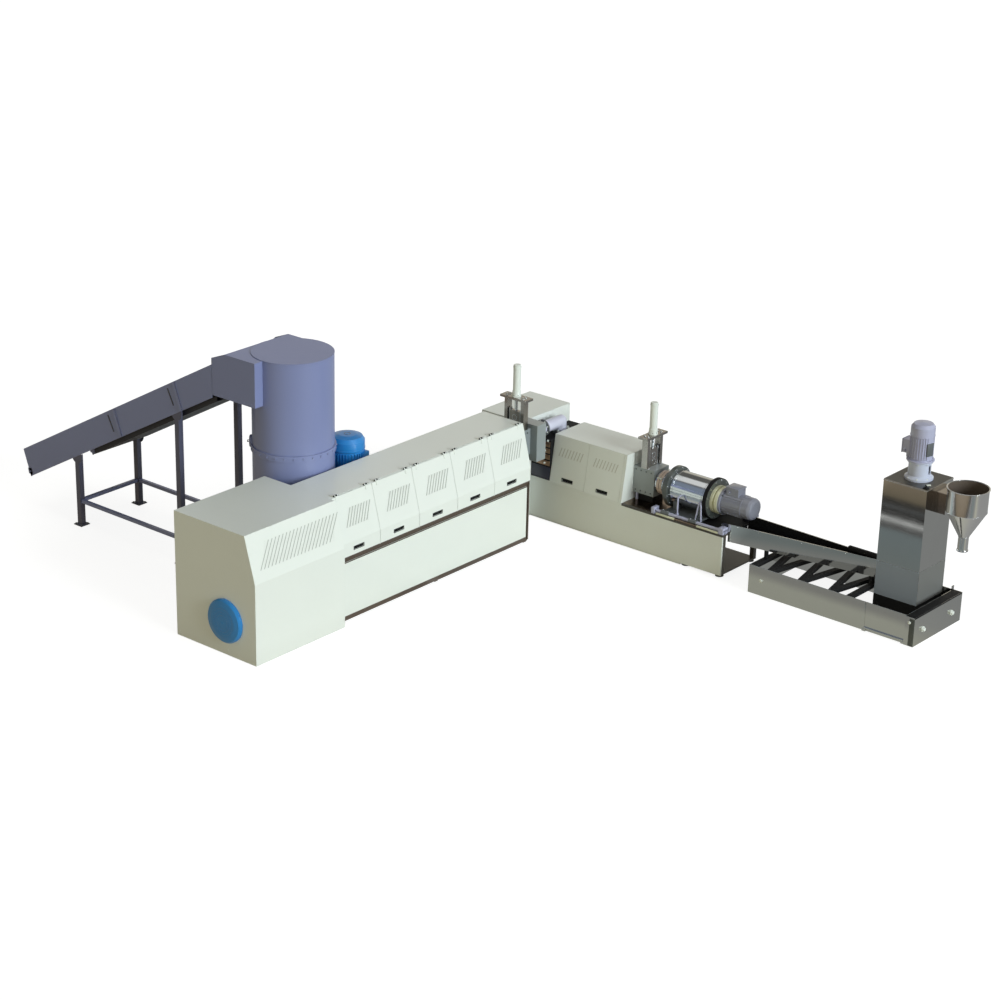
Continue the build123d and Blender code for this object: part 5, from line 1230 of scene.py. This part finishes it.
@dataclass
class PelletTrough(Assembly):
    """The trough's dark inside, its edge strips and the cover over its end."""

    start_y: tuple[float, float] = (5.160, 5.600)
    end_y: tuple[float, float] = (5.462, 5.552)
    x0: float = 3.1143
    x1: float = 5.1297
    top: float = 0.700
    depth: float = 0.232
    sheet: float = 0.006

    def edge(self, x: float, side: int, inset: float, z: float) -> Vector:
        """A point at x, inset from the front side (1) or the back side (-1)."""
        index = 0 if side > 0 else 1
        share = (x - self.x0) / (self.x1 - self.x0)
        y = self.start_y[index] + share * (self.end_y[index] - self.start_y[index])
        return Vector((x, y + side * inset, z))

    def dark_inside(self) -> None:
        """Black sheets on the inner faces and the floor, which keep the trough dark inside."""
        inset, thick = self.sheet + 0.0005, 0.003
        z0, z1 = self.top - self.depth + inset, self.top - 0.004

        def corner(end: int, side: int, z: float) -> Vector:
            """A corner of the black sheets, set in a little from the trough's ends."""
            point = self.edge((self.x0, self.x1)[end], side, inset, z)
            return point + X * (0.008, -0.004)[end]

        # Black sheets on the trough's inner side faces and floor.
        with self.piece("trough_dark_inside", Look.BLACK, smooth=False) as forge:
            for side in (1, -1):
                ends = ((0, z0), (1, z0), (1, z1), (0, z1))
                forge.slab([corner(end, side, z) for end, z in ends], Y * side * thick)
            floor = ((0, 1), (1, 1), (1, -1), (0, -1))
            forge.slab([corner(end, side, z0) for end, side in floor], Z * thick)

    def rims(self) -> None:
        """A folded edge along both side plates, with its screws."""
        fold, z = 0.012, self.top - 0.001
        with self.piece("trough_rims", Look.STAINLESS, smooth=False) as forge:
            for side in (1, -1):
                forge.slab([self.edge(x, side, inset, z) for x, inset in
                            ((self.x0, 0), (self.x1, 0), (self.x1, fold), (self.x0, fold))], Z * 0.003)
        with self.piece("trough_screws", Look.STAINLESS) as forge:
            for index, side in product(range(7), (1, -1)):
                forge.dome(self.edge(self.x0 + 0.12 + index * 0.29, side, 0, self.top - 0.02), Y * -side,
                           0.007, 0.003)

    def build(self) -> None:
        """Build every small part of the trough, with the black cover beside the dryer."""
        with self.piece("trough_end_cover", Look.BLACK) as forge:
            forge.box((4.66, 5.478, 0.7008), (5.118, 5.520, 0.752), 0.003)
            forge.box((4.66, 5.5195, 0.7015), (5.118, 5.566, 0.716), 0.002)
        self.dark_inside()
        self.rims()


@dataclass
class Dryer(Assembly):
    """The centrifugal dryer's base fittings, tower trim, motor and cyclone details."""

    tower_low: tuple[float, float] = (5.130, 5.375)
    tower_high: tuple[float, float] = (5.722, 5.967)
    tower_top: float = 1.792
    skirt_z: float = 0.302
    sheet_z: float = 0.735
    front_y: float = 4.943
    end_x: float = 5.985
    panel_turn: float = -14.0
    motor_radius: float = 0.144
    motor_axis: Point = (5.426, 5.671, 0.0)

    def base(self) -> None:
        """Bolts, seams, edge seal and corner strip of the base."""
        right, front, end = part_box("dryer_base")[1][0], self.front_y, self.end_x
        with self.piece("base_bolts", Look.WHITE) as forge:
            for y in (5.112, 5.757):
                foot = Vector((end, y, 0.176))
                forge.rod(foot, foot + X * 0.014, 0.038, 6, bevel=0.002)
                forge.rod(foot + X * 0.014, foot + X * 0.034, 0.027, end_radius=0.023, bevel=0.002)
            forge.bolt((5.915, 4.9135, 0.300), -Y, 0.03, 0.018)
            forge.bolt((3.79, front, 0.20), -Y, 0.036, 0.016)
        with self.piece("base_seams", Look.STAINLESS) as forge:
            for x in (5.283, 5.848):
                forge.box((x, front - 0.0035, 0.03), (x + 0.012, front + 0.001, 0.368), 0.001)
            forge.box((5.29, front - 0.022, 0.03), (5.845, front + 0.001, 0.046), 0.002)
            for x in (5.275, 5.815):
                forge.box((x, front - 0.026, 0.0), (x + 0.05, front + 0.03, 0.03), 0.003)
            forge.box((right - 0.125, 5.935, 0.371), (right - 0.118, 5.985, 0.43), 0.001)
        with self.piece("base_edge_seal", Look.BLACK) as forge:
            forge.box((5.862, 4.93, 0.366), (5.978, 5.98, 0.374), 0.002)
            for y in (4.93, 5.94):
                forge.box((5.862, y, 0.30), (5.978, y + 0.04, 0.367), 0.002)
            forge.box((5.9835, 4.9155, 0.355), (5.9865, 5.982, 0.3725), 0.0005)
        self.sheet("base_corner_strip", Look.DISC, (5.915, 4.9135, 0.004), (5.9865, 4.9165, 0.354), 0.0005)

    def tower(self) -> None:
        """Top seam of the tower, painted shade round its foot, painted reflections on its lower sheets and
        roof, and the lever on its roof with a painted highlight.
        """
        (x0, y0), (x1, y1), top = self.tower_low, self.tower_high, self.tower_top
        low, high = self.skirt_z, self.sheet_z
        self.sheet("tower_seams", Look.STAINLESS, (x0 - 0.003, y0 - 0.003, 1.774),
                   (x1 + 0.003, y1 + 0.003, 1.780), 0.001)
        # Painted shade: a black skin round the tower's foot, inside the base.
        self.sheet("tower_foot_shade", Look.BLACK, (x0 - 0.002, y0 - 0.002, 0.102),
                   (x1 + 0.002, y1 + 0.002, 0.300))
        # Painted reflections: the stainless lower sheets take the grey-blue and dark colours that they
        # mirror, on the front and on the +X side.
        self.sheet("tower_front_reflection", Look.FRONT_REFLECTION, (x0 + 0.001, y0 - 0.0015, low),
                   (x1 - 0.0005, y0 + 0.0005, high))
        self.sheet("tower_side_reflection", Look.SIDE_REFLECTION, (x1 - 0.0005, y0 - 0.001, low),
                   (x1 + 0.0015, y1 - 0.001, high))
        # Painted reflection: a near-black sheet on the roof for the dark that the stainless top mirrors.
        self.sheet("tower_roof_reflection", Look.ROOF, (x0 + 0.002, y0 + 0.002, top - 0.001),
                   (x1 - 0.002, y1 - 0.002, top + 0.0012))
        base = Vector((5.675, 5.425, top))
        with self.piece("tower_lever", Look.BLACK) as forge:
            forge.box(base + Vector((-0.03, -0.03, 0)), base + Vector((0.03, 0.03, 0.012)), 0.002)
            forge.rod(base, base + Z * 0.045, 0.012, 16)
        # Painted highlight: a white bar on the black lever, for the shine it catches.
        with self.piece("tower_lever_highlight", Look.WHITE) as forge:
            forge.pipe([base + Z * 0.04, base + Vector((0.045, 0.03, 0.045))], 0.009)

    def motor(self) -> None:
        """The lantern's bolts, and the motor's fins, flange, terminal box lid and rating panel."""
        low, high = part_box("dryer_motor")
        foot, height, radius, axis = low[2], high[2] - low[2], self.motor_radius, Vector(self.motor_axis)
        with self.piece("lantern_bolts", Look.WHITE) as forge:
            for x, y in circle(8):
                forge.bolt(axis + Vector((x, y, 0)) * 0.158 + Z * (self.tower_top + 0.025), Z, 0.02, 0.014)
                forge.bolt(axis + Vector((x, y, 0)) * 0.1405 + Z * 2.002, -Z, 0.014, 0.01)
        with self.piece("dryer_motor_fins", Look.LAVENDER) as forge:
            angles = (12.0 * (index + 0.5) for index in range(30))
            forge.around(axis, "Z", (a for a in angles if 22 <= a <= 150 or 210 <= a <= 338),
                         (radius * 0.94, -0.002, foot + 0.03), (radius, 0.002, foot + height * 0.645))
            forge.ring(axis + Z * (foot + height * 0.655), Z, radius - 0.002, radius + 0.004, 0.010, 48)
            forge.box((5.200, 5.594, 2.084), (5.212, 5.748, 2.259), 0.003)
            forge.box((5.245, 5.640, 2.030), (5.300, 5.702, 2.075), 0.004)
            forge.lathe(axis + Z * 2.0275, Z,
                        [(radius - 0.004, 0), (0.168, 0), (0.168, 0.012), (0.160, 0.018),
                         (radius - 0.004, 0.018)], 48)
            forge.rod((5.25, 5.601, 2.12), (5.25, 5.575, 2.12), 0.012, 16, bevel=0.002)
        with self.piece("rating_panel", Look.DARK_STEEL) as forge:
            forge.around(axis, "Z", (self.panel_turn,), (radius - 0.012, -0.05, foot + 0.08),
                         (radius + 0.001, 0.05, foot + 0.24), 0.002)

    def cyclone(self) -> None:
        """Rolled rim, weld rings, the outlet's collar, and a dull brown ring of painted shade inside the
        mouth.
        """
        low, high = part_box("cyclone")
        radius, top, roll = (high[0] - low[0]) / 2, high[2], 0.0055
        axis = middle("cyclone", 0.0)
        with self.piece("cyclone_rims", Look.POLISHED) as forge:
            forge.lathe(axis + Z * (top - 0.003), Z,
                        [(radius - 0.006 + roll * a, roll * b) for a, b in circle(12, 0.0)], 72)
            forge.lathe(axis + Z * (top - 0.294), Z,
                        [(radius - 0.012, 0), (radius - 0.0075, 0.002), (radius - 0.012, 0.006)], 72)
            forge.ring(axis + Z * low[2], Z, 0.0625, 0.069, 0.014, 40)
            forge.lathe(axis + Z * (low[2] + 0.176), Z, [(0.0620, 0), (0.066, 0.003), (0.0620, 0.007)], 40)
        # Painted shade: a dull brown ring on the inner wall below the rim.
        with self.piece("cyclone_inner_shade", Look.CYCLONE_INNER_SHADE) as forge:
            forge.ring(axis + Z * (top - 0.286), Z, radius - 0.0168, radius - 0.0152, 0.278, 72)

    def build(self) -> None:
        """Build every small part of the dryer."""
        self.base()
        self.tower()
        self.motor()
        self.cyclone()


@dataclass
class Studio:
    """Camera, lamps, floor and backdrop."""

    focal: float = 2552.5
    frame: float = 1000.0
    sensor: float = 36.0
    centre_x: float = 357.1
    centre_y: float = 587.8
    place: Point = (19.833, -19.636, 12.827)
    azimuth: float = 42.926
    elevation: float = 23.741
    floor_half: float = 400.0

    @staticmethod
    def link(name: str, data: bpy.types.ID, turn: Quaternion) -> bpy.types.Object:
        """Put a turned camera or lamp in the scene."""
        obj = bpy.data.objects.new(name, data)
        bpy.context.scene.collection.objects.link(obj)
        obj.rotation_mode, obj.rotation_quaternion = "QUATERNION", turn
        return obj

    def camera(self) -> None:
        """Put the camera where the photograph was taken from."""
        data = bpy.data.cameras.new("camera")
        data.sensor_width = self.sensor
        data.lens = self.focal / self.frame * self.sensor
        data.shift_x = (self.frame / 2 - self.centre_x) / self.frame
        data.shift_y = (self.centre_y - self.frame / 2) / self.frame
        data.clip_end = 1000.0
        a, e = math.radians(self.azimuth), math.radians(self.elevation)
        back = Vector((math.sin(a) * math.cos(e), -math.cos(a) * math.cos(e), math.sin(e)))
        obj = self.link("camera", data, (-back).to_track_quat("-Z", "Y"))
        obj.location = self.place
        bpy.context.scene.camera = obj

    def lamp(self, name: str, towards: Point, strength: float, colour: Colour, spread: float,
             mirrored: bool = True) -> None:
        """Add a far soft lamp; towards points from the object to the lamp."""
        data = bpy.data.lights.new(name, "SUN")
        data.energy, data.color, data.angle = strength, colour, math.radians(spread)
        self.link(name, data, Vector(towards).to_track_quat("Z", "Y")).visible_glossy = mirrored

    @staticmethod
    def mirrored_floor(graph: Graph) -> Socket:
        """The studio floor as bright metal mirrors it, in bands of dark and light."""
        place = graph.node("TexCoord").outputs["Object"]
        split = graph.node("SeparateXYZ", {0: place}).outputs
        ramp = graph.node("ValToRGB", {0: graph.math("DIVIDE", split["Y"], FLOOR_LENGTH, True)})
        elements = ramp.color_ramp.elements
        while len(elements) > 1:
            elements.remove(elements[0])
        for index, (spot, colour) in enumerate(FLOOR_BANDS):
            element = elements[0] if index == 0 else elements.new(spot / FLOOR_LENGTH)
            element.position = spot / FLOOR_LENGTH
            element.color = (*colour, 1.0)
        nearer = graph.node("MapRange", {"Value": split["X"], "From Min": 2.65, "From Max": 2.95,
                                         "To Min": 1.7, "To Max": 1.0}).outputs["Result"]
        return graph.scaled(ramp.outputs["Color"], nearer)

    def floor(self) -> None:
        """A pale floor that shows white to the camera and keeps the object's shadow."""
        data = bpy.data.meshes.new("floor")
        mesh = bmesh.new()
        bmesh.ops.create_grid(mesh, x_segments=1, y_segments=1, size=self.floor_half)
        bmesh.ops.translate(mesh, verts=mesh.verts, vec=(0, 0, -0.002))
        mesh.to_mesh(data)
        mesh.free()
        obj = bpy.data.objects.new("floor", data)
        bpy.context.scene.collection.objects.link(obj)
        material = bpy.data.materials.new("studio_floor")
        material.use_nodes = True
        graph = Graph(material.node_tree)
        graph.tree.nodes.remove(graph.tree.nodes["Principled BSDF"])
        light = graph.node("LightPath").outputs
        plain = graph.node("BsdfDiffuse", {"Color": (0.50, 0.46, 0.35, 1.0)}).outputs[0]
        shade = graph.node("BsdfDiffuse", {"Color": (0.32, 0.32, 0.32, 1.0)}).outputs[0]
        glow = graph.node("Emission", {"Color": (0.86, 0.86, 0.86, 1.0)}).outputs[0]
        seen = graph.node("AddShader", {0: shade, 1: glow}).outputs[0]
        pick = graph.node("MixShader", {0: light["Is Camera Ray"], 1: plain, 2: seen}).outputs[0]
        mirror = graph.node("Emission", {"Color": self.mirrored_floor(graph)}).outputs[0]
        both = graph.node("MixShader", {0: light["Is Glossy Ray"], 1: pick, 2: mirror}).outputs[0]
        graph.fill(graph.tree.nodes["Material Output"].inputs, {"Surface": both})
        data.materials.append(material)

    @staticmethod
    def sky() -> None:
        """A white backdrop with even light, and a studio gradient with a bright strip for gloss."""
        world = bpy.data.worlds.new("studio")
        world.use_nodes = True
        graph = Graph(world.node_tree)
        way = graph.node("SeparateXYZ", {0: graph.node("TexCoord").outputs["Generated"]}).outputs
        x, y, z = way["X"], way["Y"], way["Z"]
        side = graph.math("ADD", graph.math("MULTIPLY", x, 0.5), 0.5, True)
        turned = graph.math("ADD", graph.math("MULTIPLY", x, 0.37), graph.math("MULTIPLY", y, 0.33))
        ambient = graph.mix(graph.math("ADD", turned, 0.5, True), (0.19, 0.17, 0.12), (0.26, 0.28, 0.30))
        gloss = graph.mix(graph.math("POWER", side, 2.0), (0.11, 0.105, 0.09), (0.80, 0.82, 0.84))
        off = graph.math("ABSOLUTE", graph.math("ADD", y, 0.08), 0.0)
        strip = graph.math("MULTIPLY", graph.band(0.30, off, 14.0), graph.band(z, 0.55, 8.0))
        behind = graph.math("MULTIPLY", graph.band(y, 0.35, 5.0), graph.band(0.50, z, 10.0))
        before = graph.band(-0.35, y, 5.0)
        for mask, colour in ((behind, (0.66, 0.62, 0.52)), (before, (0.27, 0.32, 0.40)),
                             (strip, (0.95, 0.95, 0.92))):
            gloss = graph.mix(mask, gloss, colour)
        light = graph.node("LightPath").outputs
        lit = graph.mix(light["Is Glossy Ray"], ambient, gloss)
        white = graph.math("MAXIMUM", light["Is Camera Ray"], light["Is Transmission Ray"])
        graph.fill(graph.tree.nodes["Background"].inputs, {"Color": graph.mix(white, lit, (1.0, 1.0, 1.0))})
        bpy.context.scene.world = world

    def build(self) -> None:
        """Build the whole studio."""
        self.camera()
        self.floor()
        self.sky()
        self.lamp("key", (1.0, -0.04, 0.30), 2.5, (0.90, 0.99, 1.0), 25.0)
        self.lamp("front", (0.1, -1.0, 0.25), 0.36, (1.0, 0.90, 0.55), 40.0)
        self.lamp("top", (0.0, 0.2, 1.0), 0.35, (1.0, 0.98, 0.92), 60.0, mirrored=False)
        self.lamp("rear", (-0.8, 0.9, 0.4), 0.5, (1.0, 0.99, 0.97), 40.0, mirrored=False)


def main(frame: dict) -> None:
    """Dress the whole line, in order.
    """
    logging.basicConfig(level=logging.INFO, format="%(name)s %(message)s")
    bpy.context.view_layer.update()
    palette = Palette()
    slots = {part["node"]: part["material_slot"] for part in frame["record"]["subparts"]}
    for name, obj in frame["nodes"].items():
        look = NODE_LOOKS.get(name, palette.by_name[slots[name]])
        palette.dress(obj, look)
        LOG.info("%s: %s", name, look.name)
    for assembly in (GuardHousing, Compactor, FeedConveyor, ScreenChangers, SecondStage, Cutter, PelletTrough,
                     Dryer):
        assembly(palette).build()
    Studio().build()
    bpy.context.scene.view_settings.view_transform = "Standard"


if __name__ == "__main__":
    main(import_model())
